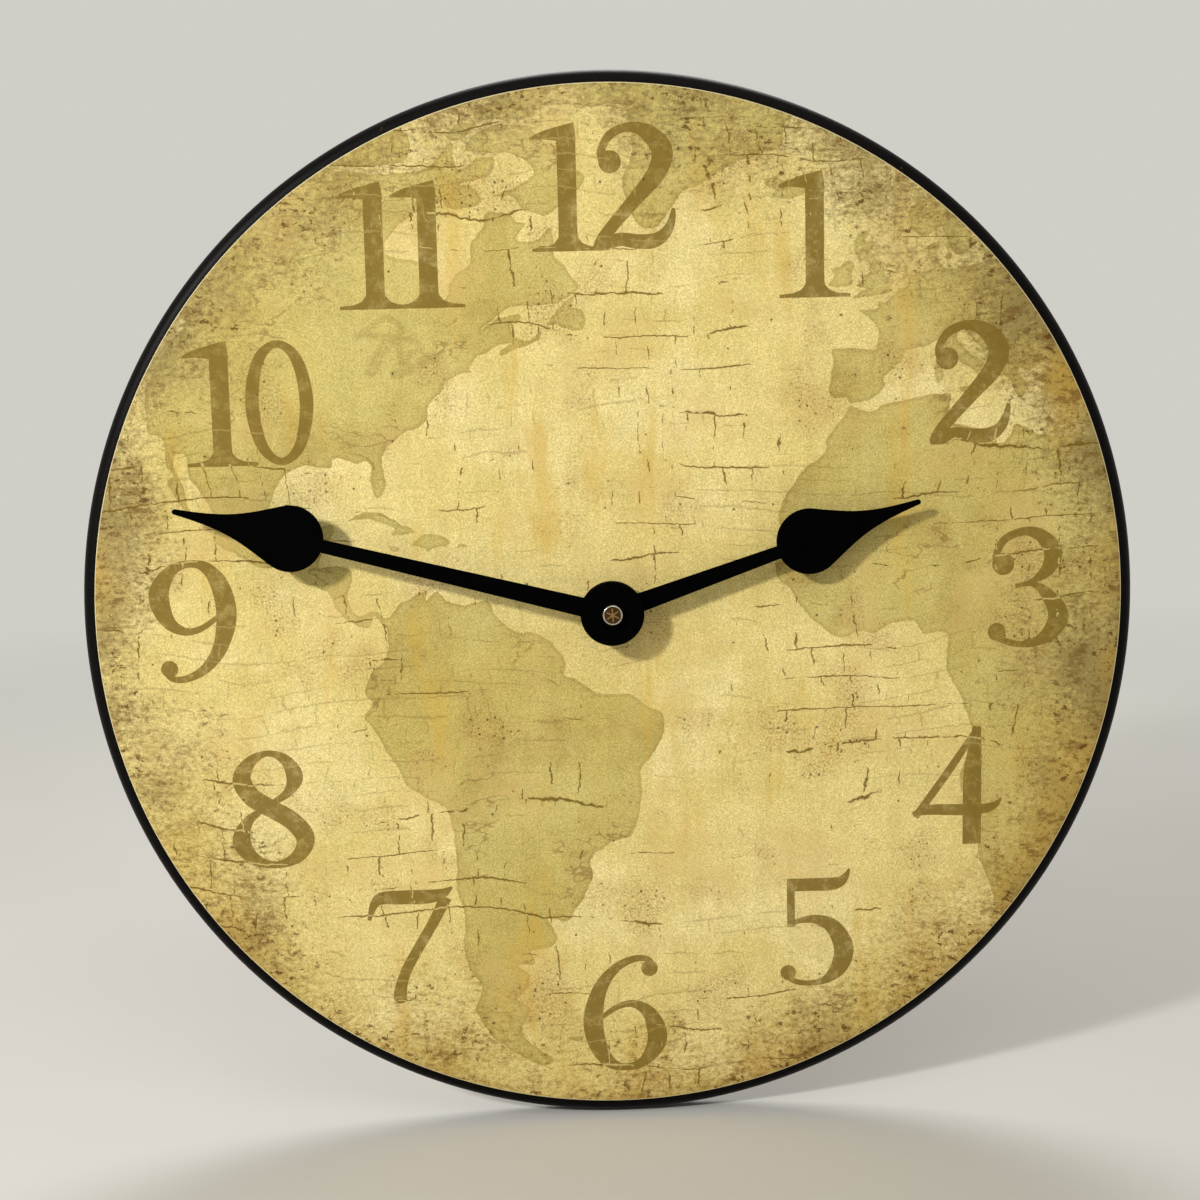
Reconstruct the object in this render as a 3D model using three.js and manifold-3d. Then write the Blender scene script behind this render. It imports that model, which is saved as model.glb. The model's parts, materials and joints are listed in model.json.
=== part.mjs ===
// Round wall clock: a rounded board with a printed dial, two spade hands and a quartz movement behind it.
// Millimetres. Pieces are drawn with x to the right, y up and z from the wall forward.
// The finished group is turned so that z points along -Y and y along +Z.

import * as THREE from "three";
import { mergeVertices } from "three/addons/utils/BufferGeometryUtils.js";
import Module from "manifold-3d";

const wasm = await Module();
wasm.setup();

// Board and printed dial
const BOARD_DIAMETER = 304.8;
const BOARD_THICKNESS = 9.5;
const EDGE_ROUND = 4;
const BACK_CHAMFER = 1;
const DIAL_THICKNESS = 0.3;

// Hands
const MINUTE_REACH = 127;
const HOUR_REACH = 93.5;
const BLADE_LENGTH = 33.6;
const BULB_RADIUS = 9.4;
const TIP_RADIUS = 0.75;
const NECK_RADIUS = 1.8;
const NECK_LENGTH = 15.1;
const FLANK_PULL = 11.2;
const SHOULDER_DEGREES = 65;
const ARM_WIDTH_AT_HUB = 5.4;
const ARM_WIDTH_AT_BULB = 3.7;
const HAND_HUB_RADIUS = 9.1;
const HAND_THICKNESS = 0.8;
const HAND_SPACING = 2.2;
const MINUTE_DEGREES = 284.8;
const HOUR_DEGREES = 71.5;
const COLLET_RADIUS = 3.7;
const COLLET_LENGTH = 1.4;

// Nut on the end of the minute arbor
const HAND_NUT_RADIUS = 2.85;
const HAND_NUT_HEIGHT = 2.6;
const NUT_INSERT_RADIUS = 2.3;
const NUT_INSERT_THICKNESS = 0.7;
const STAR_RIB_WIDTH = 0.36;
const STAR_RIB_HEIGHT = 0.25;

// Dial fixing, from the movement forward
const HANGER_THICKNESS = 1;
const HANGER_WIDTH = 26;
const HANGER_FOOT = 12;
const HANGER_CORNER = 4.3;
const HANGER_CLEARANCE = 0.3;
const TONGUE_SETBACK = 1.5;
const TONGUE_LENGTH = 17;
const KEYHOLE_RADIUS = 4.5;
const KEYHOLE_SLOT = 3.8;
const KEYHOLE_TRAVEL = 7;
const GASKET_RADIUS = 10;
const GASKET_THICKNESS = 1;
const BUSHING_RADIUS = 4;
const BUSHING_STANDOUT = 0.4;
const FLANGE_RADIUS = 5.6;
const FLANGE_THICKNESS = 1;
const WASHER_RADIUS = 7.2;
const WASHER_THICKNESS = 0.6;
const NUT_ACROSS_FLATS = 11;
const NUT_HEIGHT = 2.2;

// Movement case
const CASE_SIZE = 57;
const CASE_CORNER = 3;
const ROOM_CORNER = 1;
const CASE_WALL = 2;
const FRONT_WALL = 1.5;
const PARTITION = 1.6;
const COVER_LEDGE = 0.9;
const COVER_THICKNESS = 1.6;
const BOSS_HEIGHT = 1.2;
const BOSS_RADIUS = 1.6;
const BRIDGE_THICKNESS = 1.2;
const POST_RADIUS = 1.5;

// Battery and its contacts
const BATTERY_DIAMETER = 14.2;
const BATTERY_LENGTH = 49.2;
const NUB_RADIUS = 2.75;
const NUB_LENGTH = 1.3;
const BATTERY_GAP = 0.3;
const BATTERY_RECESS = 0.6;
const CONTACT_THICKNESS = 0.4;
const CONTACT_WIDTH = 8;
const STRIP_WIDTH = 2.6;

// Wheels: tooth counts, modules and plate sizes
const ROTOR_TEETH = 6;
const FIFTH_TEETH = 36;
const FIFTH_PINION_TEETH = 8;
const SECONDS_TEETH = 40;
const SECONDS_PINION_TEETH = 6;
const THIRD_TEETH = 48;
const THIRD_PINION_TEETH = 6;
const CENTRE_TEETH = 45;
const CANNON_TEETH = 10;
const MINUTE_WHEEL_TEETH = 30;
const MINUTE_PINION_TEETH = 8;
const HOUR_TEETH = 32;
const KNOB_TEETH = 14;
const ROTOR_MODULE = 0.34;
const SECONDS_MODULE = 0.45;
const THIRD_MODULE = 0.375;
const MOTION_MODULE = 0.48;
const TOOTH_ADDENDUM = 0.85;
const TOOTH_DEDENDUM = 1.15;
const TOOTH_ROOT_SHARE = 0.5;
const TOOTH_TIP_SHARE = 0.22;
const WHEEL_THICKNESS = 0.9;
const LAYER_GAP = 0.5;
const ARBOR_RADIUS = 0.5;
const MINUTE_ARBOR_RADIUS = 1.8;
const MINUTE_TIP_RADIUS = 1.5;
const HOUR_TUBE_RADIUS = 2.55;
const STUD_RADIUS = 0.8;
const CLUTCH_THICKNESS = 0.3;
const CLUTCH_RADIUS = 3.4;
const RIVET_THICKNESS = 0.3;
const COLLAR_THICKNESS = 0.6;
const COLLAR_RADIUS = 2.8;

// Where the wheels stand around the hands' axis, in degrees from the right
const THIRD_ANGLE = 10;
const FIFTH_ANGLE = 75;
const ROTOR_ANGLE = 40;
const MINUTE_WHEEL_ANGLE = 170;
const KNOB_ANGLE = 160;

// Motor, coil and electronics
const MAGNET_RADIUS = 2.2;
const MAGNET_AIR_GAP = 0.4;
const STATOR_THICKNESS = 1;
const STATOR_BAR = 6.6;
const STATOR_LEG = 4;
const COIL_RADIUS = 3.6;
const COIL_LENGTH = 22;
const WINDING_MARGIN = 0.3;
const CORE_LENGTH = 34;
const CORE_WIDTH = 3;
const BOBBIN_WALL = 0.7;
const BOBBIN_CHEEK = 0.9;
const BOARD_WIDTH = 13;
const BOARD_HEIGHT = 16;
const BOARD_SHEET = 1;
const CRYSTAL_RADIUS = 1;
const CRYSTAL_LENGTH = 6;
const CHIP_RADIUS = 2.6;
const CHIP_HEIGHT = 0.9;

// Setting knob
const KNOB_RADIUS = 6;
const KNOB_RIBS = 16;
const KNOB_RIB_DEPTH = 0.5;
const KNOB_HEIGHT = 2.4;
const KNOB_RECESS = 0.4;
const KNOB_SHAFT_RADIUS = 1.2;
const KNOB_HOLE_GAP = 0.4;

// Fits: turning fits, fixed fits and the seam left between faces that bear on each other
const RUN_CLEARANCE = 0.08;
const FIT_CLEARANCE = 0.1;
const SEAM = 0.05;

// How finely curves are drawn, and how far a cutting shape runs past the face it cuts
const SMALL_SIDES = 16;
const SIDES = 24;
const ROUND_SIDES = 72;
const CURVE_STEPS = 10;
const EDGE_STEPS = 4;
const OVERCUT = 1;

const rad = THREE.MathUtils.degToRad;

// Layers of the movement, each starting where the one behind it ends
const layer = (behind, thickness, gap = LAYER_GAP) => ({
  back: behind + gap,
  front: behind + gap + thickness,
});
const bossFront = COVER_THICKNESS + BOSS_HEIGHT;
const fifthLayer = layer(bossFront, WHEEL_THICKNESS);
const secondsLayer = layer(fifthLayer.front, WHEEL_THICKNESS);
const thirdLayer = layer(secondsLayer.front, WHEEL_THICKNESS);
const centreLayer = layer(thirdLayer.front, WHEEL_THICKNESS);
const clutchLayer = layer(centreLayer.front, CLUTCH_THICKNESS, SEAM);
const collarLayer = layer(clutchLayer.front, COLLAR_THICKNESS, SEAM);
const bridgeLayer = layer(collarLayer.front, BRIDGE_THICKNESS, LAYER_GAP / 2);
const cannonLayer = layer(bridgeLayer.front, WHEEL_THICKNESS);
const hourLayer = layer(cannonLayer.front, WHEEL_THICKNESS);
const trainDepth = hourLayer.front + LAYER_GAP + FLANGE_THICKNESS + FRONT_WALL;
const bayDepth = BATTERY_RECESS + BATTERY_DIAMETER + BATTERY_GAP + FRONT_WALL;
const caseDepth = Math.max(trainDepth, bayDepth);
const frontWallBack = caseDepth - FRONT_WALL;

// Layers in front of the movement
const hangerLayer = layer(caseDepth, HANGER_THICKNESS, SEAM);
const gasketLayer = layer(hangerLayer.front, GASKET_THICKNESS, SEAM);
const boardLayer = layer(gasketLayer.front, BOARD_THICKNESS, SEAM);
const dialLayer = layer(boardLayer.front, DIAL_THICKNESS, SEAM);
const washerLayer = layer(dialLayer.front, WASHER_THICKNESS, SEAM);
const nutLayer = layer(washerLayer.front, NUT_HEIGHT, SEAM);
const bushingFront = nutLayer.front + BUSHING_STANDOUT;
const colletLayer = layer(bushingFront, COLLET_LENGTH, BUSHING_STANDOUT);
const hourHandLayer = layer(colletLayer.front, HAND_THICKNESS, SEAM);
const hourTubeFront = hourHandLayer.front + BUSHING_STANDOUT;
const minuteHandLayer = layer(hourHandLayer.front, HAND_THICKNESS, HAND_SPACING);
const handNutLayer = layer(minuteHandLayer.front, HAND_NUT_HEIGHT, SEAM);
const insertBack = handNutLayer.front - STAR_RIB_HEIGHT - NUT_INSERT_THICKNESS;

// Plan of the movement: rooms in the case and the axes of the wheels
const half = CASE_SIZE / 2;
const inner = half - CASE_WALL;
const bayTop = -inner + BATTERY_DIAMETER + 2 * BATTERY_GAP;
const roomBottom = bayTop + PARTITION;
const batteryY = -inner + BATTERY_GAP + BATTERY_DIAMETER / 2;
const batteryZ = BATTERY_RECESS + BATTERY_DIAMETER / 2;
const polar = (distance, degrees, from = { x: 0, y: 0 }) => ({
  x: from.x + distance * Math.cos(rad(degrees)),
  y: from.y + distance * Math.sin(rad(degrees)),
});
const centreDistance = (teethA, teethB, module) => ((teethA + teethB) * module) / 2;
const thirdDistance = centreDistance(SECONDS_PINION_TEETH, THIRD_TEETH, THIRD_MODULE);
const motionDistance = centreDistance(CANNON_TEETH, MINUTE_WHEEL_TEETH, MOTION_MODULE);
const CENTRE_MODULE = (2 * thirdDistance) / (THIRD_PINION_TEETH + CENTRE_TEETH);
const HOUR_MODULE = (2 * motionDistance) / (MINUTE_PINION_TEETH + HOUR_TEETH);
const third = polar(thirdDistance, THIRD_ANGLE);
const fifth = polar(centreDistance(FIFTH_PINION_TEETH, SECONDS_TEETH, SECONDS_MODULE), FIFTH_ANGLE);
const rotor = polar(centreDistance(ROTOR_TEETH, FIFTH_TEETH, ROTOR_MODULE), ROTOR_ANGLE, fifth);
const minuteWheel = polar(motionDistance, MINUTE_WHEEL_ANGLE);
const knob = polar(centreDistance(MINUTE_WHEEL_TEETH, KNOB_TEETH, MOTION_MODULE), KNOB_ANGLE, minuteWheel);

// Basic shapes
function toSolid(geometry) {
  const bare = geometry.clone();
  bare.deleteAttribute("normal");
  bare.deleteAttribute("uv");
  const merged = mergeVertices(bare, 1e-4);
  return new wasm.Manifold(
    new wasm.Mesh({
      numProp: 3,
      vertProperties: merged.attributes.position.array,
      triVerts: Uint32Array.from(merged.index.array),
    }),
  );
}

function toGeometry(solid) {
  const mesh = solid.getMesh();
  const geometry = new THREE.BufferGeometry();
  geometry.setAttribute("position", new THREE.BufferAttribute(Float32Array.from(mesh.vertProperties), 3));
  geometry.setIndex(new THREE.BufferAttribute(Uint32Array.from(mesh.triVerts), 1));
  return geometry;
}

function join(...pieces) {
  return toGeometry(pieces.map(toSolid).reduce((whole, piece) => whole.add(piece)));
}

function cut(body, ...tools) {
  return toGeometry(tools.map(toSolid).reduce((whole, tool) => whole.subtract(tool), toSolid(body)));
}

function common(bodyA, bodyB) {
  return toGeometry(toSolid(bodyA).intersect(toSolid(bodyB)));
}

function rod(radius, back, front, at = { x: 0, y: 0 }, sides = SIDES) {
  const cylinder = new THREE.CylinderGeometry(radius, radius, front - back, sides);
  return cylinder.rotateX(Math.PI / 2).translate(at.x, at.y, (back + front) / 2);
}

function slab(shape, back, front, steps = 2) {
  const options = { depth: front - back, bevelEnabled: false, curveSegments: steps };
  return new THREE.ExtrudeGeometry(shape, options).translate(0, 0, back);
}

function box(x0, x1, y0, y1, z0, z1) {
  const block = new THREE.BoxGeometry(x1 - x0, y1 - y0, z1 - z0);
  return block.translate((x0 + x1) / 2, (y0 + y1) / 2, (z0 + z1) / 2);
}

function ring(outer, bore, back, front, sides = SIDES) {
  const shape = new THREE.Shape();
  shape.absarc(0, 0, outer, 0, 2 * Math.PI);
  const hole = new THREE.Path();
  hole.absarc(0, 0, bore, 0, 2 * Math.PI);
  shape.holes.push(hole);
  return slab(shape, back, front, sides / 2);
}

function roundedRect(x0, y0, x1, y1, radius) {
  const shape = new THREE.Shape();
  shape.absarc(x1 - radius, y0 + radius, radius, -Math.PI / 2, 0);
  shape.absarc(x1 - radius, y1 - radius, radius, 0, Math.PI / 2);
  shape.absarc(x0 + radius, y1 - radius, radius, Math.PI / 2, Math.PI);
  shape.absarc(x0 + radius, y0 + radius, radius, Math.PI, 1.5 * Math.PI);
  return shape;
}

// A profile of [radius, z] points turned round the hands' axis
function turned(profile, sides = SIDES) {
  const points = profile.map(([radius, z]) => new THREE.Vector2(radius, z));
  return new THREE.LatheGeometry(points, sides).rotateX(Math.PI / 2);
}

// Toothed wheels: straight-flanked teeth, thinned so that a pair runs with backlash
const tipRadius = (teeth, module) => (teeth / 2 + TOOTH_ADDENDUM) * module;

function gear(teeth, module, { back, front }, turn = 0) {
  const tip = tipRadius(teeth, module);
  const root = (teeth / 2 - TOOTH_DEDENDUM) * module;
  const step = (2 * Math.PI) / teeth;
  const corners = [
    [root, -TOOTH_ROOT_SHARE],
    [tip, -TOOTH_TIP_SHARE],
    [tip, TOOTH_TIP_SHARE],
    [root, TOOTH_ROOT_SHARE],
  ];
  const points = [];
  for (let tooth = 0; tooth < teeth; tooth += 1) {
    for (const [radius, share] of corners) {
      const angle = turn + (tooth + share / 2) * step;
      points.push(new THREE.Vector2(radius * Math.cos(angle), radius * Math.sin(angle)));
    }
  }
  return slab(new THREE.Shape(points), back, front);
}

// Turn of a wheel that puts a gap where the driving wheel has a tooth, seen along the line of centres
function meshTurn(lineDegrees, driverTeeth, driverTurn, drivenTeeth) {
  const line = rad(lineDegrees);
  const driverPhase = ((line - driverTurn) * driverTeeth) / (2 * Math.PI);
  return line + Math.PI - ((0.5 - driverPhase) * 2 * Math.PI) / drivenTeeth;
}

const minuteWheelTurn = meshTurn(MINUTE_WHEEL_ANGLE, CANNON_TEETH, 0, MINUTE_WHEEL_TEETH);

// Board and dial
function backboard() {
  const edge = BOARD_DIAMETER / 2;
  const hole = BUSHING_RADIUS + FIT_CLEARANCE;
  const { back, front } = boardLayer;
  const profile = [
    [hole, back],
    [edge - BACK_CHAMFER, back],
    [edge, back + BACK_CHAMFER],
  ];
  for (let i = 0; i <= EDGE_STEPS; i += 1) {
    const angle = (i / EDGE_STEPS) * (Math.PI / 2);
    const radius = edge - EDGE_ROUND + EDGE_ROUND * Math.cos(angle);
    profile.push([radius, front - EDGE_ROUND + EDGE_ROUND * Math.sin(angle)]);
  }
  profile.push([hole, front], [hole, back]);
  return turned(profile, ROUND_SIDES);
}

function dialSheet() {
  const edge = BOARD_DIAMETER / 2 - EDGE_ROUND;
  return ring(edge, BUSHING_RADIUS + FIT_CLEARANCE, dialLayer.back, dialLayer.front, ROUND_SIDES);
}

// Hands: a hub, a tapering arm, a round bulb and a hollow-flanked point, drawn pointing to twelve
function handShape(reach, boreRadius) {
  const bulbY = reach - BLADE_LENGTH;
  const shoulder = rad(SHOULDER_DEGREES);
  const shoulderX = BULB_RADIUS * Math.sin(shoulder);
  const shoulderY = bulbY + BULB_RADIUS * Math.cos(shoulder);
  const flankX = shoulderX - FLANK_PULL * Math.cos(shoulder);
  const flankY = shoulderY + FLANK_PULL * Math.sin(shoulder);
  const tipY = reach - TIP_RADIUS;
  const neckY = tipY - NECK_LENGTH;
  const atBulb = Math.asin(ARM_WIDTH_AT_BULB / 2 / BULB_RADIUS);
  const atHub = Math.asin(ARM_WIDTH_AT_HUB / 2 / HAND_HUB_RADIUS);
  const shape = new THREE.Shape();
  shape.moveTo(-TIP_RADIUS, tipY);
  shape.bezierCurveTo(-NECK_RADIUS, neckY, -flankX, flankY, -shoulderX, shoulderY);
  shape.absarc(0, bulbY, BULB_RADIUS, Math.PI / 2 + shoulder, 1.5 * Math.PI - atBulb);
  shape.absarc(0, 0, HAND_HUB_RADIUS, Math.PI / 2 + atHub, 2.5 * Math.PI - atHub);
  shape.absarc(0, bulbY, BULB_RADIUS, 1.5 * Math.PI + atBulb, 2.5 * Math.PI - shoulder);
  shape.bezierCurveTo(flankX, flankY, NECK_RADIUS, neckY, TIP_RADIUS, tipY);
  shape.absarc(0, tipY, TIP_RADIUS, 0, Math.PI);
  const bore = new THREE.Path();
  bore.absarc(0, 0, boreRadius, 0, 2 * Math.PI);
  shape.holes.push(bore);
  return shape;
}

function hourHand() {
  const shape = handShape(HOUR_REACH, HOUR_TUBE_RADIUS + FIT_CLEARANCE);
  return slab(shape, hourHandLayer.back, hourHandLayer.front, CURVE_STEPS).rotateZ(-rad(HOUR_DEGREES));
}

function minuteHand() {
  const shape = handShape(MINUTE_REACH, MINUTE_TIP_RADIUS + FIT_CLEARANCE);
  return slab(shape, minuteHandLayer.back, minuteHandLayer.front, CURVE_STEPS).rotateZ(-rad(MINUTE_DEGREES));
}

function hourCollet() {
  return ring(COLLET_RADIUS, HOUR_TUBE_RADIUS + FIT_CLEARANCE, colletLayer.back, colletLayer.front);
}

function handNut() {
  const bore = MINUTE_TIP_RADIUS + FIT_CLEARANCE;
  const cup = NUT_INSERT_RADIUS + FIT_CLEARANCE;
  const { back, front } = handNutLayer;
  const floor = insertBack - SEAM;
  const crown = FIT_CLEARANCE;
  return turned([
    [bore, back],
    [HAND_NUT_RADIUS, back],
    [HAND_NUT_RADIUS, front - crown],
    [HAND_NUT_RADIUS - crown, front],
    [cup, front],
    [cup, floor],
    [bore, floor],
    [bore, back],
  ]);
}

function nutInsert() {
  const top = insertBack + NUT_INSERT_THICKNESS;
  const pieces = [rod(NUT_INSERT_RADIUS, insertBack, top)];
  for (let rib = 0; rib < 3; rib += 1) {
    const reach = NUT_INSERT_RADIUS - STAR_RIB_WIDTH;
    const side = STAR_RIB_WIDTH / 2;
    const bar = box(-reach, reach, -side, side, insertBack, top + STAR_RIB_HEIGHT);
    pieces.push(bar.rotateZ((rib * Math.PI) / 3));
  }
  return join(...pieces);
}

// Dial fixing
function hangerPlate() {
  const sheet = HANGER_THICKNESS;
  const backBend = half + HANGER_CLEARANCE;
  const top = backBend + sheet + TONGUE_LENGTH;
  const { back, front } = hangerLayer;
  const outline = [
    [-HANGER_FOOT, back],
    [backBend, back],
    [backBend, TONGUE_SETBACK],
    [top, TONGUE_SETBACK],
    [top, TONGUE_SETBACK + sheet],
    [backBend + sheet, TONGUE_SETBACK + sheet],
    [backBend + sheet, front],
    [-HANGER_FOOT, front],
  ];
  const profile = new THREE.Shape(outline.map(([y, z]) => new THREE.Vector2(y, z)));
  const axes = new THREE.Matrix4().makeBasis(
    new THREE.Vector3(0, 1, 0),
    new THREE.Vector3(0, 0, 1),
    new THREE.Vector3(1, 0, 0),
  );
  const strip = slab(profile, -HANGER_WIDTH / 2, HANGER_WIDTH / 2).applyMatrix4(axes);
  const plan = roundedRect(-HANGER_WIDTH / 2, -HANGER_FOOT, HANGER_WIDTH / 2, top, HANGER_CORNER);
  const holeY = backBend + sheet + KEYHOLE_RADIUS + sheet;
  const slot = KEYHOLE_SLOT / 2;
  return cut(
    common(strip, slab(plan, 0, front + sheet)),
    rod(BUSHING_RADIUS + FIT_CLEARANCE, back - sheet, front + sheet),
    rod(KEYHOLE_RADIUS, 0, back - sheet, { x: 0, y: holeY }),
    box(-slot, slot, holeY, holeY + KEYHOLE_TRAVEL, 0, back - sheet),
    rod(slot, 0, back - sheet, { x: 0, y: holeY + KEYHOLE_TRAVEL }),
  );
}

function gasket() {
  return ring(GASKET_RADIUS, BUSHING_RADIUS + FIT_CLEARANCE, gasketLayer.back, gasketLayer.front);
}

function dialWasher() {
  return ring(WASHER_RADIUS, BUSHING_RADIUS + FIT_CLEARANCE, washerLayer.back, washerLayer.front);
}

function hexNut() {
  const { back, front } = nutLayer;
  const corner = NUT_ACROSS_FLATS / 2 / Math.cos(Math.PI / 6);
  const hex = rod(corner, back, front, undefined, 6);
  return cut(hex, rod(BUSHING_RADIUS + FIT_CLEARANCE, back - NUT_HEIGHT, front + NUT_HEIGHT));
}

function bushing() {
  const bore = HOUR_TUBE_RADIUS + RUN_CLEARANCE;
  const flangeFront = frontWallBack - SEAM;
  return turned([
    [bore, flangeFront - FLANGE_THICKNESS],
    [FLANGE_RADIUS, flangeFront - FLANGE_THICKNESS],
    [FLANGE_RADIUS, flangeFront],
    [BUSHING_RADIUS, flangeFront],
    [BUSHING_RADIUS, bushingFront],
    [bore, bushingFront],
    [bore, flangeFront - FLANGE_THICKNESS],
  ]);
}

// Movement case, its cover and the plate that carries the front ends of the arbors
const bridgeLeft = -inner + POST_RADIUS;
const bridgeRight = third.x + 2 * POST_RADIUS + BOSS_RADIUS;
const bridgeBottom = roomBottom + CONTACT_THICKNESS + POST_RADIUS / 2;
const bridgeTop = rotor.y + BOSS_RADIUS + POST_RADIUS / 2;
const bridgePosts = [
  { x: bridgeLeft + POST_RADIUS, y: bridgeBottom + POST_RADIUS },
  { x: bridgeLeft + POST_RADIUS, y: bridgeTop - POST_RADIUS },
  { x: bridgeRight - POST_RADIUS, y: bridgeTop - POST_RADIUS },
  { x: tipRadius(HOUR_TEETH, HOUR_MODULE), y: bridgeBottom + POST_RADIUS },
];
const boardRight = inner - FIT_CLEARANCE;
const boardLeft = boardRight - BOARD_WIDTH;
const boardBottom = roomBottom + FIT_CLEARANCE;
const boardTop = boardBottom + BOARD_HEIGHT;
const sheetFront = frontWallBack - CHIP_HEIGHT - LAYER_GAP;
const sheetBack = sheetFront - BOARD_SHEET;
const sheetPosts = [
  { x: boardLeft + POST_RADIUS, y: boardTop - POST_RADIUS },
  { x: boardRight - 2 * POST_RADIUS, y: boardBottom + 2 * POST_RADIUS },
];
const coilY = inner - COIL_RADIUS - LAYER_GAP;
const statorMiddle = (thirdLayer.back + centreLayer.front) / 2;
const statorFront = statorMiddle + STATOR_THICKNESS / 2;
const coreBack = statorFront + SEAM;
const coreFront = coreBack + STATOR_THICKNESS;
const coreEnd = CORE_LENGTH / 2 - STATOR_LEG / 2;
const stripBack = centreLayer.back - STRIP_WIDTH / 2;
const negativeX = -inner + CONTACT_THICKNESS / 2;
const positiveX = inner - CONTACT_THICKNESS / 2;

function movementCase() {
  const shell = slab(roundedRect(-half, -half, half, half, CASE_CORNER), 0, caseDepth);
  const room = slab(roundedRect(-inner, roomBottom, inner, inner, ROOM_CORNER), -OVERCUT, frontWallBack);
  const lip = inner + COVER_LEDGE;
  const recessPlan = roundedRect(-lip, roomBottom - COVER_LEDGE, lip, lip, ROOM_CORNER);
  const recess = slab(recessPlan, -OVERCUT, COVER_THICKNESS + SEAM);
  const bay = slab(roundedRect(-inner, -inner, inner, bayTop, ROOM_CORNER), -OVERCUT, frontWallBack);
  const slotDepth = 2 * CONTACT_THICKNESS + FIT_CLEARANCE;
  const slotLow = bayTop - ROOM_CORNER;
  const slotHigh = roomBottom + ROOM_CORNER;
  const negativeSlot = box(-inner, -inner + slotDepth, slotLow, slotHigh, 0, bridgeLayer.back);
  const positiveSlot = box(inner - slotDepth, inner, slotLow, slotHigh, 0, sheetBack);
  const hollow = cut(shell, room, recess, bay, negativeSlot, positiveSlot);
  const foot = frontWallBack + FRONT_WALL / 2;
  const posts = [
    ...bridgePosts.map((at) => rod(POST_RADIUS, bridgeLayer.front + SEAM, foot, at, SMALL_SIDES)),
    ...sheetPosts.map((at) => rod(POST_RADIUS, sheetFront + SEAM, foot, at, SMALL_SIDES)),
    ...[-coreEnd, coreEnd].map((x) => rod(POST_RADIUS, coreFront + SEAM, foot, { x, y: coilY }, SMALL_SIDES)),
  ];
  return cut(join(hollow, ...posts), rod(BUSHING_RADIUS + FIT_CLEARANCE, 0, caseDepth + FRONT_WALL));
}

function rearCover() {
  const edge = inner + COVER_LEDGE - FIT_CLEARANCE;
  const bottom = roomBottom - COVER_LEDGE + FIT_CLEARANCE;
  const plate = slab(roundedRect(-edge, bottom, edge, edge, ROOM_CORNER), 0, COVER_THICKNESS);
  const pivots = [{ x: 0, y: 0 }, third, fifth, rotor];
  const bosses = pivots.map((at) => rod(BOSS_RADIUS, COVER_THICKNESS / 2, bossFront, at, SMALL_SIDES));
  const socket = ARBOR_RADIUS + RUN_CLEARANCE;
  const sockets = pivots.map((at) => rod(socket, COVER_THICKNESS, bossFront + OVERCUT, at, SMALL_SIDES));
  const knobHole = rod(KNOB_RADIUS + KNOB_HOLE_GAP, -OVERCUT, COVER_THICKNESS + OVERCUT, knob);
  return cut(join(plate, ...bosses), ...sockets, knobHole);
}

function trainBridge() {
  const { back, front } = bridgeLayer;
  const plate = slab(roundedRect(bridgeLeft, bridgeBottom, bridgeRight, bridgeTop, POST_RADIUS), back, front);
  const stud = rod(STUD_RADIUS, back, hourLayer.front, minuteWheel, SMALL_SIDES);
  const socketFront = (back + front) / 2;
  const sockets = [third, fifth, rotor].map((at) =>
    rod(ARBOR_RADIUS + RUN_CLEARANCE, back - OVERCUT, socketFront, at, SMALL_SIDES),
  );
  return cut(
    join(plate, stud),
    ...sockets,
    rod(MINUTE_ARBOR_RADIUS + RUN_CLEARANCE, back - OVERCUT, front + OVERCUT),
    rod(KNOB_SHAFT_RADIUS + RUN_CLEARANCE, back - OVERCUT, front + OVERCUT, knob),
  );
}

// Going train, from the motor to the wheel that carries the minute arbor by friction
const arborBack = COVER_THICKNESS + SEAM;
const arborFront = (bridgeLayer.back + bridgeLayer.front) / 2 - SEAM;
const at = (geometry, place) => geometry.translate(place.x, place.y, 0);

function rotorPinion() {
  const turn = meshTurn(ROTOR_ANGLE, FIFTH_TEETH, 0, ROTOR_TEETH);
  const leaves = gear(ROTOR_TEETH, ROTOR_MODULE, { back: fifthLayer.back, front: secondsLayer.back }, turn);
  return at(join(leaves, rod(ARBOR_RADIUS, arborBack, arborFront, undefined, SMALL_SIDES)), rotor);
}

function rotorMagnet() {
  const bore = ARBOR_RADIUS + FIT_CLEARANCE;
  return at(ring(MAGNET_RADIUS, bore, thirdLayer.back, centreLayer.front, SMALL_SIDES), rotor);
}

function fifthWheel() {
  const turn = meshTurn(FIFTH_ANGLE, SECONDS_TEETH, 0, FIFTH_PINION_TEETH);
  const wheel = gear(FIFTH_TEETH, ROTOR_MODULE, fifthLayer);
  const pinionLayer = { back: fifthLayer.back, front: secondsLayer.front };
  const pinion = gear(FIFTH_PINION_TEETH, SECONDS_MODULE, pinionLayer, turn);
  return at(join(wheel, pinion, rod(ARBOR_RADIUS, arborBack, arborFront, undefined, SMALL_SIDES)), fifth);
}

function secondsWheel() {
  const wheel = gear(SECONDS_TEETH, SECONDS_MODULE, secondsLayer);
  const pinionLayer = { back: secondsLayer.back, front: thirdLayer.front };
  const pinion = gear(SECONDS_PINION_TEETH, THIRD_MODULE, pinionLayer);
  return join(wheel, pinion, rod(ARBOR_RADIUS, arborBack, cannonLayer.front, undefined, SMALL_SIDES));
}

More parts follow.
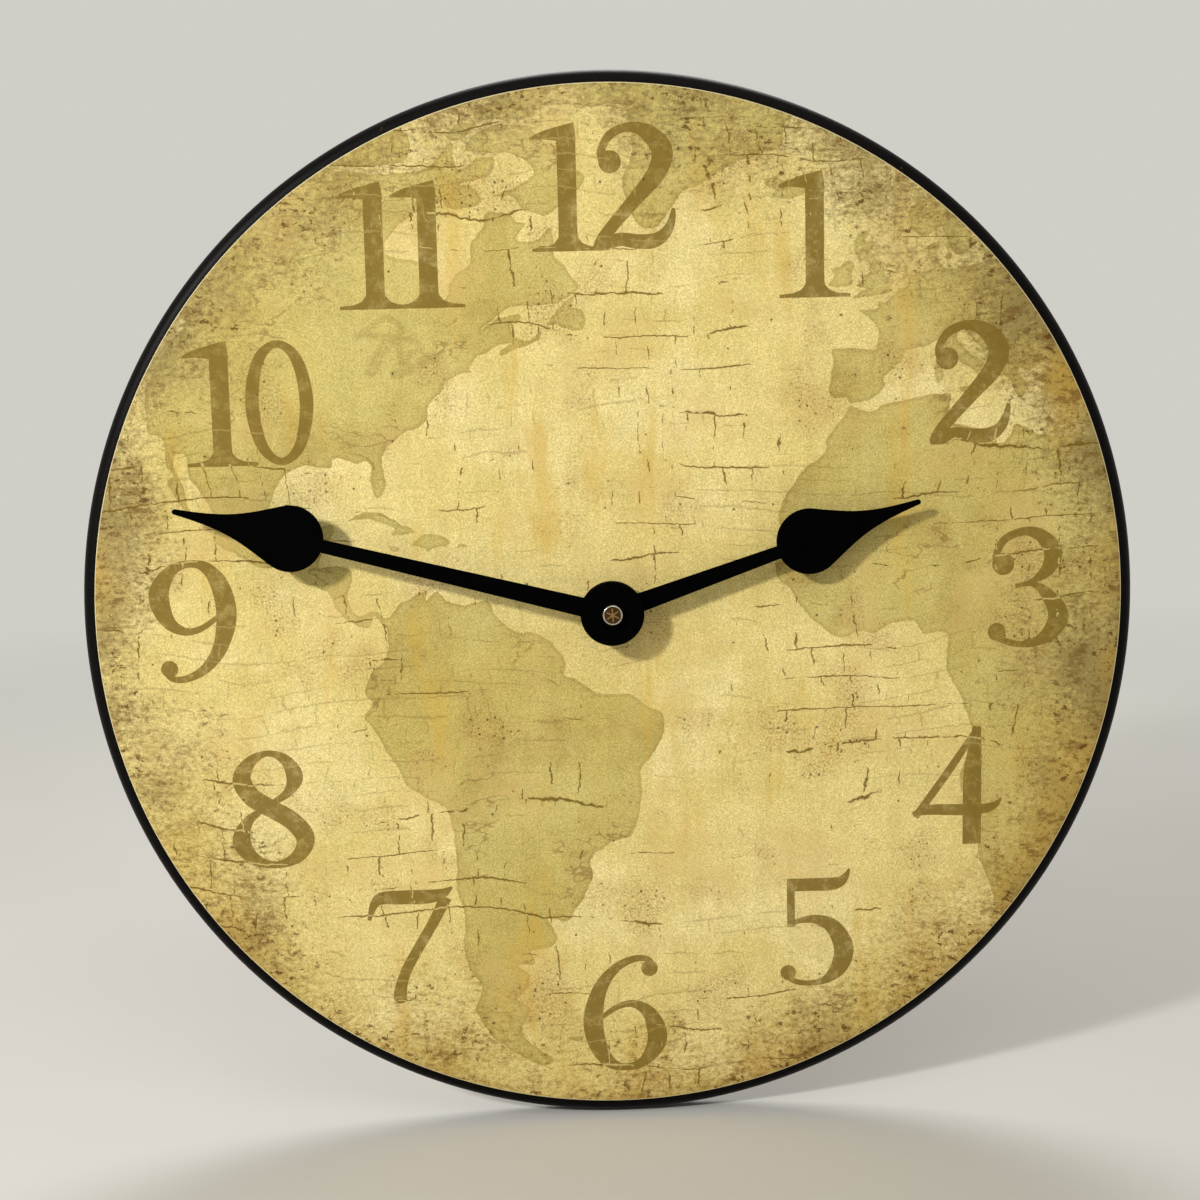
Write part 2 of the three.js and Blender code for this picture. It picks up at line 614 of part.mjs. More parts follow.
function thirdWheel() {
  const turn = meshTurn(THIRD_ANGLE, SECONDS_PINION_TEETH, 0, THIRD_TEETH);
  const wheel = gear(THIRD_TEETH, THIRD_MODULE, thirdLayer, turn);
  const pinionLayer = { back: thirdLayer.back, front: centreLayer.front };
  const pinion = gear(THIRD_PINION_TEETH, CENTRE_MODULE, pinionLayer);
  return at(join(wheel, pinion, rod(ARBOR_RADIUS, arborBack, arborFront, undefined, SMALL_SIDES)), third);
}

function centreWheel() {
  const turn = meshTurn(THIRD_ANGLE + 180, THIRD_PINION_TEETH, 0, CENTRE_TEETH);
  const bore = MINUTE_ARBOR_RADIUS + RUN_CLEARANCE;
  const hole = rod(bore, centreLayer.back - OVERCUT, centreLayer.front + OVERCUT);
  return cut(gear(CENTRE_TEETH, CENTRE_MODULE, centreLayer, turn), hole);
}

function clutchWasher() {
  const bore = MINUTE_ARBOR_RADIUS + FIT_CLEARANCE;
  return ring(CLUTCH_RADIUS, bore, clutchLayer.back, clutchLayer.front, SMALL_SIDES);
}

// Motion work, from the minute arbor to the hour tube, and the knob that sets the hands
function minuteArbor() {
  const rivetFront = centreLayer.back - SEAM;
  const rivetBack = rivetFront - RIVET_THICKNESS;
  const body = join(
    rod(COLLAR_RADIUS, rivetBack, rivetFront),
    rod(MINUTE_ARBOR_RADIUS, rivetBack, minuteHandLayer.back - SEAM),
    rod(COLLAR_RADIUS, collarLayer.back, collarLayer.front),
    gear(CANNON_TEETH, MOTION_MODULE, cannonLayer),
    rod(MINUTE_TIP_RADIUS, cannonLayer.front, insertBack - SEAM),
  );
  const bore = ARBOR_RADIUS + RUN_CLEARANCE;
  const boreFront = cannonLayer.front + LAYER_GAP;
  return cut(body, rod(bore, rivetBack - OVERCUT, boreFront, undefined, SMALL_SIDES));
}

function minuteWheelPiece() {
  const wheel = gear(MINUTE_WHEEL_TEETH, MOTION_MODULE, cannonLayer, minuteWheelTurn);
  const pinion = gear(MINUTE_PINION_TEETH, HOUR_MODULE, { back: cannonLayer.back, front: hourLayer.front });
  const bore = STUD_RADIUS + RUN_CLEARANCE;
  const hole = rod(bore, cannonLayer.back - OVERCUT, hourLayer.front + OVERCUT, undefined, SMALL_SIDES);
  return at(cut(join(wheel, pinion), hole), minuteWheel);
}

function hourWheel() {
  const turn = meshTurn(MINUTE_WHEEL_ANGLE + 180, MINUTE_PINION_TEETH, 0, HOUR_TEETH);
  const wheel = gear(HOUR_TEETH, HOUR_MODULE, hourLayer, turn);
  const tube = rod(HOUR_TUBE_RADIUS, hourLayer.back, hourTubeFront);
  const bore = MINUTE_ARBOR_RADIUS + RUN_CLEARANCE;
  return cut(join(wheel, tube), rod(bore, hourLayer.back - OVERCUT, hourTubeFront + OVERCUT));
}

function setKnob() {
  const turn = meshTurn(KNOB_ANGLE, MINUTE_WHEEL_TEETH, minuteWheelTurn, KNOB_TEETH);
  const points = [];
  for (let i = 0; i < 4 * KNOB_RIBS; i += 1) {
    const radius = i % 4 < 2 ? KNOB_RADIUS : KNOB_RADIUS - KNOB_RIB_DEPTH;
    const angle = ((i + 0.5) / (4 * KNOB_RIBS)) * 2 * Math.PI;
    points.push(new THREE.Vector2(radius * Math.cos(angle), radius * Math.sin(angle)));
  }
  const grip = slab(new THREE.Shape(points), KNOB_RECESS, KNOB_RECESS + KNOB_HEIGHT);
  const shaft = rod(KNOB_SHAFT_RADIUS, KNOB_RECESS, cannonLayer.front);
  return at(join(grip, shaft, gear(KNOB_TEETH, MOTION_MODULE, cannonLayer, turn)), knob);
}

// Motor and electronics
function stator() {
  const left = -CORE_LENGTH / 2;
  const right = CORE_LENGTH / 2;
  const low = rotor.y - STATOR_BAR / 2;
  const barTop = rotor.y + STATOR_BAR / 2;
  const top = coilY + CORE_WIDTH / 2;
  const outline = [
    [left, low],
    [right, low],
    [right, top],
    [right - STATOR_LEG, top],
    [right - STATOR_LEG, barTop],
    [left + STATOR_LEG, barTop],
    [left + STATOR_LEG, top],
    [left, top],
  ];
  const shape = new THREE.Shape(outline.map(([x, y]) => new THREE.Vector2(x, y)));
  const hole = new THREE.Path();
  hole.absarc(rotor.x, rotor.y, MAGNET_RADIUS + MAGNET_AIR_GAP, 0, 2 * Math.PI);
  shape.holes.push(hole);
  return slab(shape, statorFront - STATOR_THICKNESS, statorFront, CURVE_STEPS);
}

function coilCore() {
  const end = CORE_LENGTH / 2;
  return box(-end, end, coilY - CORE_WIDTH / 2, coilY + CORE_WIDTH / 2, coreBack, coreFront);
}

// A rod along x, round the middle of the coil core
function coilRod(radius, left, right) {
  const middle = (coreBack + coreFront) / 2;
  return rod(radius, left, right).rotateY(Math.PI / 2).translate(0, coilY, middle);
}

const bobbinRadius = Math.hypot(CORE_WIDTH, STATOR_THICKNESS) / 2 + FIT_CLEARANCE + BOBBIN_WALL;

function coilBobbin() {
  const end = COIL_LENGTH / 2;
  const spool = join(
    coilRod(bobbinRadius, -end, end),
    coilRod(COIL_RADIUS, -end, -end + BOBBIN_CHEEK),
    coilRod(COIL_RADIUS, end - BOBBIN_CHEEK, end),
  );
  const way = CORE_WIDTH / 2 + FIT_CLEARANCE;
  const tunnelEnd = end + OVERCUT;
  return cut(spool, box(-tunnelEnd, tunnelEnd, coilY - way, coilY + way, coreBack - SEAM, coreFront + SEAM));
}

function coilWinding() {
  const end = COIL_LENGTH / 2 - BOBBIN_CHEEK - SEAM;
  const wire = coilRod(COIL_RADIUS - WINDING_MARGIN, -end, end);
  return cut(wire, coilRod(bobbinRadius + SEAM, -end - OVERCUT, end + OVERCUT));
}

function circuitBoard() {
  return slab(roundedRect(boardLeft, boardBottom, boardRight, boardTop, ROOM_CORNER), sheetBack, sheetFront);
}

function quartzCrystal() {
  const x = boardRight - 4 * CRYSTAL_RADIUS;
  const y = (boardBottom + boardTop) / 2;
  const can = rod(CRYSTAL_RADIUS, -CRYSTAL_LENGTH / 2, CRYSTAL_LENGTH / 2, undefined, SMALL_SIDES);
  return can.rotateX(Math.PI / 2).translate(x, y, sheetBack - CRYSTAL_RADIUS - SEAM);
}

function driverChip() {
  const back = sheetFront + SEAM;
  const crown = CHIP_HEIGHT / 3;
  const dome = turned([
    [0, back],
    [CHIP_RADIUS, back],
    [CHIP_RADIUS - crown, back + CHIP_HEIGHT - crown],
    [CHIP_RADIUS - 3 * crown, back + CHIP_HEIGHT],
    [0, back + CHIP_HEIGHT],
  ]);
  return at(dome, { x: (boardLeft + boardRight) / 2, y: (boardBottom + boardTop) / 2 });
}

// Battery and the two contact strips that reach from the bay to the circuit board
function battery() {
  const length = BATTERY_LENGTH;
  const radius = BATTERY_DIAMETER / 2;
  const bevel = NUB_LENGTH / 2;
  const cell = turned([
    [0, 0],
    [radius - bevel, 0],
    [radius, bevel],
    [radius, length - bevel],
    [radius - bevel, length],
    [NUB_RADIUS, length],
    [NUB_RADIUS, length + NUB_LENGTH],
    [0, length + NUB_LENGTH],
  ]);
  const left = -(length + NUB_LENGTH) / 2;
  return cell.rotateY(Math.PI / 2).translate(left, batteryY, batteryZ);
}

const contactLow = batteryY - CONTACT_WIDTH / 2;
const contactHigh = batteryY + CONTACT_WIDTH / 2;
const endRoom = inner - (BATTERY_LENGTH + NUB_LENGTH) / 2;

function contactPlate(x) {
  const side = CONTACT_THICKNESS / 2;
  const reach = CONTACT_WIDTH / 2;
  return box(x - side, x + side, contactLow, contactHigh, batteryZ - reach, batteryZ + reach);
}

function positiveContact() {
  const side = CONTACT_THICKNESS / 2;
  const x = positiveX - FIT_CLEARANCE;
  const stripFront = sheetBack - SEAM;
  const stripTop = roomBottom + STRIP_WIDTH;
  const tail = box(x - side, x + side, contactLow, stripTop, stripFront - STRIP_WIDTH, stripFront);
  return join(contactPlate(x), tail);
}

function negativeContact() {
  const sheet = CONTACT_THICKNESS;
  const x = negativeX + FIT_CLEARANCE;
  const left = x - sheet / 2;
  const right = x + sheet / 2;
  const low = roomBottom + FIT_CLEARANCE;
  const high = low + sheet;
  const end = boardLeft + STRIP_WIDTH;
  const stripFront = stripBack + STRIP_WIDTH;
  const bow = endRoom - 2 * FIT_CLEARANCE - sheet;
  const leaf = new THREE.Shape();
  leaf.moveTo(left, contactLow);
  leaf.quadraticCurveTo(left + 2 * bow, batteryY, left, contactHigh);
  leaf.lineTo(right, contactHigh);
  leaf.quadraticCurveTo(right + 2 * bow, batteryY, right, contactLow);
  const reach = CONTACT_WIDTH / 2;
  return join(
    slab(leaf, batteryZ - reach, batteryZ + reach, CURVE_STEPS),
    box(left, right, contactHigh - sheet, high, stripBack, stripFront),
    box(left, end, low, high, stripBack, stripFront),
    box(end - STRIP_WIDTH, end, low, high, stripBack, sheetBack - SEAM),
  );
}

// The pieces with their finishes
const black = { color: 0x141312, roughness: 0.42, metalness: 0 };
const paper = { color: 0xcdb27a, roughness: 0.62, metalness: 0 };
const handPaint = { color: 0x0f0f10, roughness: 0.38, metalness: 0.2 };
const nickel = { color: 0xc9c8c4, roughness: 0.22, metalness: 1 };
const brass = { color: 0xb08a45, roughness: 0.34, metalness: 1 };
const steel = { color: 0xa7a9ab, roughness: 0.36, metalness: 1 };
const rubber = { color: 0x1b1b1b, roughness: 0.85, metalness: 0 };
const casePlastic = { color: 0x1d1e20, roughness: 0.55, metalness: 0 };
const gearPlastic = { color: 0xe9e4d4, roughness: 0.5, metalness: 0 };
const copper = { color: 0xa9582c, roughness: 0.35, metalness: 0.9 };
const boardGreen = { color: 0x2d5a38, roughness: 0.5, metalness: 0 };
const chipBlack = { color: 0x101010, roughness: 0.3, metalness: 0 };
const magnetGrey = { color: 0x4c4d50, roughness: 0.45, metalness: 0.6 };
const cellSleeve = { color: 0x2b2d30, roughness: 0.35, metalness: 0.1 };

const pieces = [
  ["backboard", backboard(), black],
  ["dial_sheet", dialSheet(), paper],
  ["dial_washer", dialWasher(), brass],
  ["hex_nut", hexNut(), brass],
  ["gasket", gasket(), rubber],
  ["hanger_plate", hangerPlate(), steel],
  ["threaded_bushing", bushing(), brass],
  ["movement_case", movementCase(), casePlastic],
  ["rear_cover", rearCover(), casePlastic],
  ["train_bridge", trainBridge(), gearPlastic],
  ["minute_hand", minuteHand(), handPaint],
  ["hand_nut", handNut(), nickel],
  ["nut_insert", nutInsert(), brass],
  ["minute_arbor", minuteArbor(), brass],
  ["clutch_washer", clutchWasher(), steel],
  ["hour_hand", hourHand(), handPaint],
  ["hour_collet", hourCollet(), brass],
  ["hour_wheel", hourWheel(), gearPlastic],
  ["minute_wheel", minuteWheelPiece(), gearPlastic],
  ["set_knob", setKnob(), gearPlastic],
  ["centre_wheel", centreWheel(), gearPlastic],
  ["third_wheel", thirdWheel(), gearPlastic],
  ["seconds_wheel", secondsWheel(), gearPlastic],
  ["fifth_wheel", fifthWheel(), gearPlastic],
  ["rotor_pinion", rotorPinion(), gearPlastic],
  ["rotor_magnet", rotorMagnet(), magnetGrey],
  ["stator", stator(), steel],
  ["coil_core", coilCore(), steel],
  ["coil_bobbin", coilBobbin(), gearPlastic],
  ["coil_winding", coilWinding(), copper],
  ["circuit_board", circuitBoard(), boardGreen],
  ["quartz_crystal", quartzCrystal(), nickel],
  ["driver_chip", driverChip(), chipBlack],
  ["positive_contact", positiveContact(), nickel],
  ["negative_contact", negativeContact(), nickel],
  ["battery", battery(), cellSleeve],
];

const clock = new THREE.Group();
clock.rotation.x = Math.PI / 2;
for (const [name, geometry, finish] of pieces) {
  const mesh = new THREE.Mesh(geometry, new THREE.MeshStandardMaterial(finish));
  mesh.name = name;
  clock.add(mesh);
}

export default clock;
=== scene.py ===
# Round printed wall clock: the looks of the part, dressed over its CAD frame.
import json
import math

import bpy
import numpy as np
from mathutils import Matrix, Vector, noise
from mathutils.geometry import delaunay_2d_cdt
from mathutils.kdtree import KDTree


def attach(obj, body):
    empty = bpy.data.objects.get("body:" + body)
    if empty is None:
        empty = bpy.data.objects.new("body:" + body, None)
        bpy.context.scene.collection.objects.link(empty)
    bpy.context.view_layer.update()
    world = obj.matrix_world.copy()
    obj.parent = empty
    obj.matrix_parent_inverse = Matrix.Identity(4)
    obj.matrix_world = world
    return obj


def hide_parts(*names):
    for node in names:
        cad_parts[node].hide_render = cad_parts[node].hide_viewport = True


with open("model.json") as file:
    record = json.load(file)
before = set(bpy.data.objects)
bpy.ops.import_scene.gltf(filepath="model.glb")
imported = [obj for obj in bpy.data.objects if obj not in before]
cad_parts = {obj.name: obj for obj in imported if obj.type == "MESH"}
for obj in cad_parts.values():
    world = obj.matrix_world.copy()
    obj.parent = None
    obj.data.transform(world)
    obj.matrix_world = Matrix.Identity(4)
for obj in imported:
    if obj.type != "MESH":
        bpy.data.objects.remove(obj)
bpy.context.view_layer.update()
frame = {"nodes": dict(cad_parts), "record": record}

# Sizes in millimetres, the same as in the part's source; depths are measured forward from the wall.
MM = 0.001
JOIN_DISTANCE = 1e-4
WELD_DISTANCE = 1e-3
BOARD_RADIUS = 152.4
BOARD_BACK = 18.8
BOARD_FRONT = 28.3
EDGE_ROUND = 4
BACK_CHAMFER = 1
PRINT_RADIUS = BOARD_RADIUS - EDGE_ROUND
PRINT_BACK = 28.35
PRINT_FRONT = 28.65
PRINT_BEVEL = 0.25
PRINT_BEVEL_DEPTH = 0.12
CENTRE_HOLE_RADIUS = 4.1
HOUR_REACH = 93.5
HOUR_DEGREES = 71.5
HOUR_BACK = 33.8
HOUR_BORE_RADIUS = 2.65
MINUTE_REACH = 127
MINUTE_DEGREES = 284.8
MINUTE_BACK = 36.8
MINUTE_BORE_RADIUS = 1.6
HAND_THICKNESS = 0.8
HAND_HUB_RADIUS = 9.1
BLADE_LENGTH = 33.6
BULB_RADIUS = 9.4
TIP_RADIUS = 0.75
NECK_RADIUS = 1.8
NECK_LENGTH = 15.1
FLANK_PULL = 11.2
SHOULDER_DEGREES = 65
ARM_WIDTH_AT_HUB = 5.4
ARM_WIDTH_AT_BULB = 3.7


# Small helpers for places, colours and meshes, with the angles in degrees that part smooth and sharp edges.

SMOOTH_BELOW = 35
BEVEL_ABOVE = 40
SOFT_STEPS = 3
FINE_STEPS = 2


def spot(right, depth, up):
    """A point in metres from its place right of the axis, forward of the wall and above the axis."""
    return Vector((right, -depth, up)) * MM


def paint(red, green, blue):
    """A colour written in screen values of 0 to 255, as the linear colour that shaders take."""
    screen = [value / 255 for value in (red, green, blue)]
    linear = [v / 12.92 if v <= 0.04045 else ((v + 0.055) / 1.055) ** 2.4 for v in screen]
    return (*linear, 1)


def arc(radius, start, end, steps):
    """Points on a circle about the origin, from one angle in degrees to another."""
    angles = np.radians(np.linspace(start, end, steps + 1))
    return [(radius * math.cos(a), radius * math.sin(a)) for a in angles]


def ring(radius, count):
    """Evenly spaced points round a circle about the origin."""
    return arc(radius, 0, 360, count)[:-1]


def smooth(points, spacing, closed):
    """A Catmull-Rom curve through points of any number of values, sampled about every spacing mm."""
    knots = np.array(points, float)
    if closed:
        knots = np.vstack([knots[-1:], knots, knots[:2]])
    else:
        knots = np.vstack([2 * knots[:1] - knots[1:2], knots, 2 * knots[-1:] - knots[-2:-1]])
    curve = []
    for before, start, end, after in zip(knots, knots[1:], knots[2:], knots[3:]):
        steps = max(1, round(math.hypot(*(end - start)[:2]) / spacing))
        for t in np.arange(steps) / steps:
            bend = 2 * before - 5 * start + 4 * end - after
            twist = 3 * start - before - 3 * end + after
            curve.append(start + ((end - before) * t + bend * t * t + twist * t ** 3) / 2)
    if not closed:
        curve.append(knots[-2])
    return np.array(curve)


def linked(name, data):
    """A new object of the scene for a mesh, lamp or camera."""
    made = bpy.data.objects.new(name, data)
    bpy.context.scene.collection.objects.link(made)
    return made


def mesh_object(name, points, faces, material):
    """A new object with one mesh of points and faces, in one material."""
    mesh = bpy.data.meshes.new(name)
    mesh.from_pydata(points, [], faces)
    mesh.materials.append(material)
    return linked(name, mesh)


def piece(name, shape, body, slot, node, material=None):
    """A piece that rides on a body and stands for a CAD node, in its slot's finish unless given another."""
    made = mesh_object(name, *shape, FINISHES[slot] if material is None else material)
    made.data.shade_smooth()
    made.data.set_sharp_from_angle(angle=math.radians(SMOOTH_BELOW))
    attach(made, body)
    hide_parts(node)
    return made


def lathe(profile, segments, placed=lambda side, up, along: spot(side, along, up)):
    """A closed chain of (radius, distance along) points turned about an axis, forward by default."""
    points = []
    rows = []
    for radius, along in profile:
        turns = ring(radius, segments) if radius > 0 else [(0, 0)]
        rows.append([len(points) + i % len(turns) for i in range(segments + 1)])
        points += [placed(side, up, along) for side, up in turns]
    faces = []
    for row, after in zip(rows, rows[1:] + rows[:1]):
        for i in range(segments):
            corners = dict.fromkeys((row[i], after[i], after[i + 1], row[i + 1]))
            if len(corners) > 2:
                faces.append(tuple(corners))
    return points, faces


class Outlines:
    """Points and edges of flat outlines that triangles have to follow."""

    def __init__(self):
        self.points = []
        self.edges = []

    def add(self, loop):
        first = len(self.points)
        count = len(loop)
        self.points += [Vector(point) for point in loop]
        self.edges += [(first + i, first + (i + 1) % count) for i in range(count)]

    def scatter(self, points):
        self.points += [Vector(point) for point in points]

    def triangles(self):
        found = delaunay_2d_cdt(self.points, self.edges, [], 0, JOIN_DISTANCE)
        return np.array([tuple(point) for point in found[0]]), np.array(found[2])


def relief(outlines, depths_of):
    """A closed solid whose back and front step between the depths of the regions in the outlines."""
    drawn = Outlines()
    for loop in outlines:
        drawn.add(loop)
    flat, triangles = drawn.triangles()
    back, front = depths_of(flat[triangles].mean(1))
    kept = front > back
    triangles, back, front = triangles[kept], back[kept], front[kept]
    numbers = {}

    def corner(point, depth):
        return numbers.setdefault((int(point), round(float(depth), 4)), len(numbers))

    owners = {}
    for index, triangle in enumerate(triangles):
        for a, b in zip(triangle, np.roll(triangle, -1)):
            owners[int(a), int(b)] = index
    faces = []
    for index, triangle in enumerate(triangles):
        faces.append(tuple(corner(p, front[index]) for p in triangle))
        faces.append(tuple(corner(p, back[index]) for p in triangle[::-1]))
        for a, b in zip(triangle, np.roll(triangle, -1)):
            other = owners.get((int(b), int(a)))
            walls = [(front[index], back[index])]
            if other is not None:
                walls = [(front[index], front[other]), (back[other], back[index])]
            for near, far in walls:
                if near > far:
                    faces.append((corner(a, near), corner(a, far), corner(b, far), corner(b, near)))
    return [spot(*np.insert(flat[point], 1, depth)) for point, depth in numbers], faces


def soften(made, width, steps):
    """Rounds a piece's sharp edges a little."""
    bevel = made.modifiers.new("soft_edges", "BEVEL")
    bevel.width = width * MM
    bevel.segments = steps
    bevel.limit_method = "ANGLE"
    bevel.angle_limit = math.radians(BEVEL_ABOVE)


# Node materials: textures are measured in millimetres on the piece itself.

MIX_FIRST_COLOUR = 6
MIX_SECOND_COLOUR = 7
MIX_RESULT_COLOUR = 2


class Graph:
    """A node tree whose nodes are made, set and linked in one call each."""

    def __init__(self, tree, prefix="ShaderNode"):
        self.tree = tree
        self.prefix = prefix

    def node(self, kind, *inputs, **settings):
        made = self.tree.nodes.new(self.prefix + kind)
        for key, value in settings.items():
            setattr(made, key, value)
        for socket, value in zip(made.inputs, inputs):
            self.feed(socket, value)
        return made

    def feed(self, socket, value):
        if isinstance(value, bpy.types.NodeSocket):
            self.tree.links.new(value, socket)
        else:
            socket.default_value = value


class Finish(Graph):
    """One material, whose colour, roughness and bump are built up from nodes."""

    def __init__(self, name, sockets):
        self.material = bpy.data.materials.new(name)
        self.material.use_nodes = True
        super().__init__(self.material.node_tree)
        self.shader = self.tree.nodes["Principled BSDF"]
        for key, value in sockets.items():
            self.shader.inputs[key].default_value = value
        self.dimensions = "3D"
        coordinates = self.node("TexCoord").outputs["Object"]
        self.place = self.scaled(coordinates, (1 / MM, 1 / MM, 1 / MM))

    def math(self, operation, *values):
        return self.node("Math", *values, operation=operation).outputs[0]

    def times(self, *values):
        product = values[0]
        for value in values[1:]:
            product = self.math("MULTIPLY", product, value)
        return product

    def total(self, *values):
        added = values[0]
        for value in values[1:]:
            added = self.math("ADD", added, value)
        return added

    def scaled(self, vector, factors):
        return self.node("VectorMath", vector, factors, operation="MULTIPLY").outputs[0]

    def moved(self, vector, offset):
        return self.node("VectorMath", vector, offset, operation="ADD").outputs[0]

    def length(self, vector):
        return self.node("VectorMath", vector, operation="LENGTH").outputs["Value"]

    def along(self, axis):
        """How far a point lies along one of the axes, in mm."""
        return self.node("SeparateXYZ", self.place).outputs[axis]

    def depth(self):
        """How far a point lies forward of the wall, in mm."""
        return self.times(self.along("Y"), -1)

    def ramp(self, value, low, high, start=0, end=1):
        """A smooth step from start to end while the value goes from low to high."""
        made = self.node("MapRange", value, low, high, start, end, interpolation_type="SMOOTHSTEP")
        return made.outputs[0]

    def mix(self, factor, first, second, blend="MIX"):
        made = self.node("Mix", data_type="RGBA", blend_type=blend)
        self.feed(made.inputs[0], factor)
        self.feed(made.inputs[MIX_FIRST_COLOUR], first)
        self.feed(made.inputs[MIX_SECOND_COLOUR], second)
        return made.outputs[MIX_RESULT_COLOUR]

    def attribute(self, name):
        return self.node("Attribute", attribute_name=name).outputs["Fac"]

    def clouds(self, size, detail=2, rough=0.5, stretch=(1, 1, 1), seed=0):
        """Noise from 0 to 1 with features of about the given size in mm, longer where stretched."""
        factors = [1 / (size * s) for s in stretch]
        scaled = self.moved(self.scaled(self.place, factors), (seed, seed, seed))
        made = self.node("TexNoise", noise_dimensions=self.dimensions)
        self.feed(made.inputs["Vector"], scaled)
        self.feed(made.inputs["Scale"], 1)
        self.feed(made.inputs["Detail"], detail)
        self.feed(made.inputs["Roughness"], rough)
        return made.outputs[0]

    def colour(self, value):
        self.feed(self.shader.inputs["Base Color"], value)

    def roughness(self, value):
        self.feed(self.shader.inputs["Roughness"], value)

    def bump(self, height, depth):
        """Surface relief of the given depth in mm where the height goes from 0 to 1."""
        made = self.node("Bump")
        self.feed(made.inputs["Height"], height)
        self.feed(made.inputs["Distance"], depth * MM)
        self.feed(self.shader.inputs["Normal"], made.outputs[0])


# The printed sheet's finish: sea, land, ink, cracks, stains and a darkened rim.

CRACK_CELL = (11.5, 8.5)
HAIRLINE_CELL = (5.3, 6.1)
DIRT_START = 110
DIRT_END = 154
PAPER_GRAIN_DEPTH = 0.02


class Parchment(Finish):
    """The printed sheet's finish, laid on in layers; its textures lie flat on the dial."""

    def __init__(self):
        super().__init__("aged_print", {"Roughness": 0.66, "Specular IOR Level": 0.16})
        self.across = self.along("X")
        self.up = self.along("Z")
        self.place = self.node("CombineXYZ", self.across, self.up, 0).outputs[0]
        self.dimensions = "2D"
        self.land = self.attribute("land")
        self.mottle = self.clouds(8, 4, 0.7, seed=11)
        self.fleck = self.clouds(1.4, 3, 0.7, seed=61)
        self.grain = self.clouds(0.5, 2, 0.6, seed=5)

    def cracks(self, row_height, column_width, seed):
        """Cracks in old varnish, like worn brickwork: long ones across, short ones between them."""
        patches = self.ramp(self.clouds(52, 2, 0.5, seed=seed), 0.36, 0.66, 0.12, 0.355)
        wobble = self.ramp(self.clouds(2.6, 3, 0.6, seed=seed + 1), 0.2, 0.8, -0.3, 0.3)
        slope = self.ramp(self.clouds(60, 2, 0.4, seed=seed + 2), 0.2, 0.8, -3.5, 3.5)
        uneven = self.ramp(self.clouds(26, 1, 0.4, stretch=(900, 1, 1), seed=seed + 3), 0.2, 0.8, -2.6, 2.6)
        level = self.total(self.up, wobble, slope, uneven)
        gap = self.math("PINGPONG", level, row_height / 2)
        breaks = self.total(self.clouds(7, 4, 0.65, stretch=(4, 1, 1), seed=seed + 4), patches)
        thick = self.ramp(breaks, 0.79, 1, 0.22, 0.5)
        long = self.times(self.ramp(gap, thick, 0.06), self.ramp(breaks, 0.805, 0.835))

        row = self.math("FLOOR", self.times(level, 1 / row_height))
        chance = self.node("TexWhiteNoise", noise_dimensions="1D")
        self.feed(chance.inputs["W"], row)
        stagger = self.times(chance.outputs["Value"], 40)
        wobble = self.ramp(self.clouds(2.4, 3, 0.6, seed=seed + 5), 0.2, 0.8, -0.4, 0.4)
        side = self.math("PINGPONG", self.total(self.across, wobble, slope, stagger), column_width / 2)
        stops = self.total(self.clouds(4, 3, 0.6, stretch=(1, 1.8, 1), seed=seed + 6), patches)
        thin = self.ramp(stops, 0.85, 1.04, 0.2, 0.46)
        short = self.times(self.ramp(side, thin, 0.05), self.ramp(stops, 0.865, 0.895))
        return self.math("MAXIMUM", long, short)

    def speckles(self, spacing, largest, share):
        """Scattered round dots of different sizes; share is the part of the cells that has one."""
        cells = self.node("TexVoronoi", voronoi_dimensions="2D")
        self.feed(cells.inputs["Vector"], self.scaled(self.place, (1 / spacing, 1 / spacing, 0)))
        self.feed(cells.inputs["Scale"], 1)
        chance = self.node("SeparateColor", cells.outputs["Color"]).outputs[0]
        radius = self.ramp(chance, 1 - share, 1, 0.001, largest / spacing)
        return self.ramp(cells.outputs["Distance"], radius, self.times(radius, 0.5))

    def sea_and_land(self):
        """Sea and land, with a darker line just inside the coasts and olive patches on the land."""
        broad = self.ramp(self.clouds(48, 3, 0.55, seed=203), 0.35, 0.65)
        sea = self.mix(broad, paint(226, 206, 134), paint(219, 198, 122))
        pale = self.ramp(self.clouds(36, 4, 0.6, seed=97), 0.5, 0.68, 0, 0.4)
        sea = self.mix(pale, sea, paint(240, 224, 163))
        soil = self.mix(broad, paint(202, 185, 110), paint(193, 173, 96))
        olive = self.ramp(self.clouds(30, 4, 0.6, seed=271), 0.5, 0.68, 0, 0.45)
        soil = self.mix(olive, soil, paint(170, 147, 76))
        shore = self.times(self.land, self.ramp(self.attribute("coast"), 1.5, 0.2, 0, 0.4))
        soil = self.mix(shore, soil, paint(160, 138, 72))
        return self.mix(self.land, sea, soil)

    def toned(self, paper):
        """Uneven tone: mottling, broad folds across, faint streaks up and down, and paper grain."""
        bands = self.clouds(8, 3, 0.6, stretch=(26, 1, 1), seed=21)
        streaks = self.clouds(5, 3, 0.6, stretch=(1, 20, 1), seed=33)
        tone = self.total(
            self.ramp(self.mottle, 0.25, 0.75, 0.88, 0.98),
            self.ramp(bands, 0.3, 0.7, 0, 0.04),
            self.ramp(streaks, 0.3, 0.7, 0, 0.05),
        )
        tone = self.times(
            tone,
            self.ramp(self.grain, 0.15, 0.85, 0.74, 1.26),
            self.ramp(self.fleck, 0.3, 0.7, 1.06, 0.92),
        )
        shade = self.node("CombineColor", tone, tone, self.math("POWER", tone, 1.5)).outputs[0]
        return self.mix(1, paper, shade, "MULTIPLY")

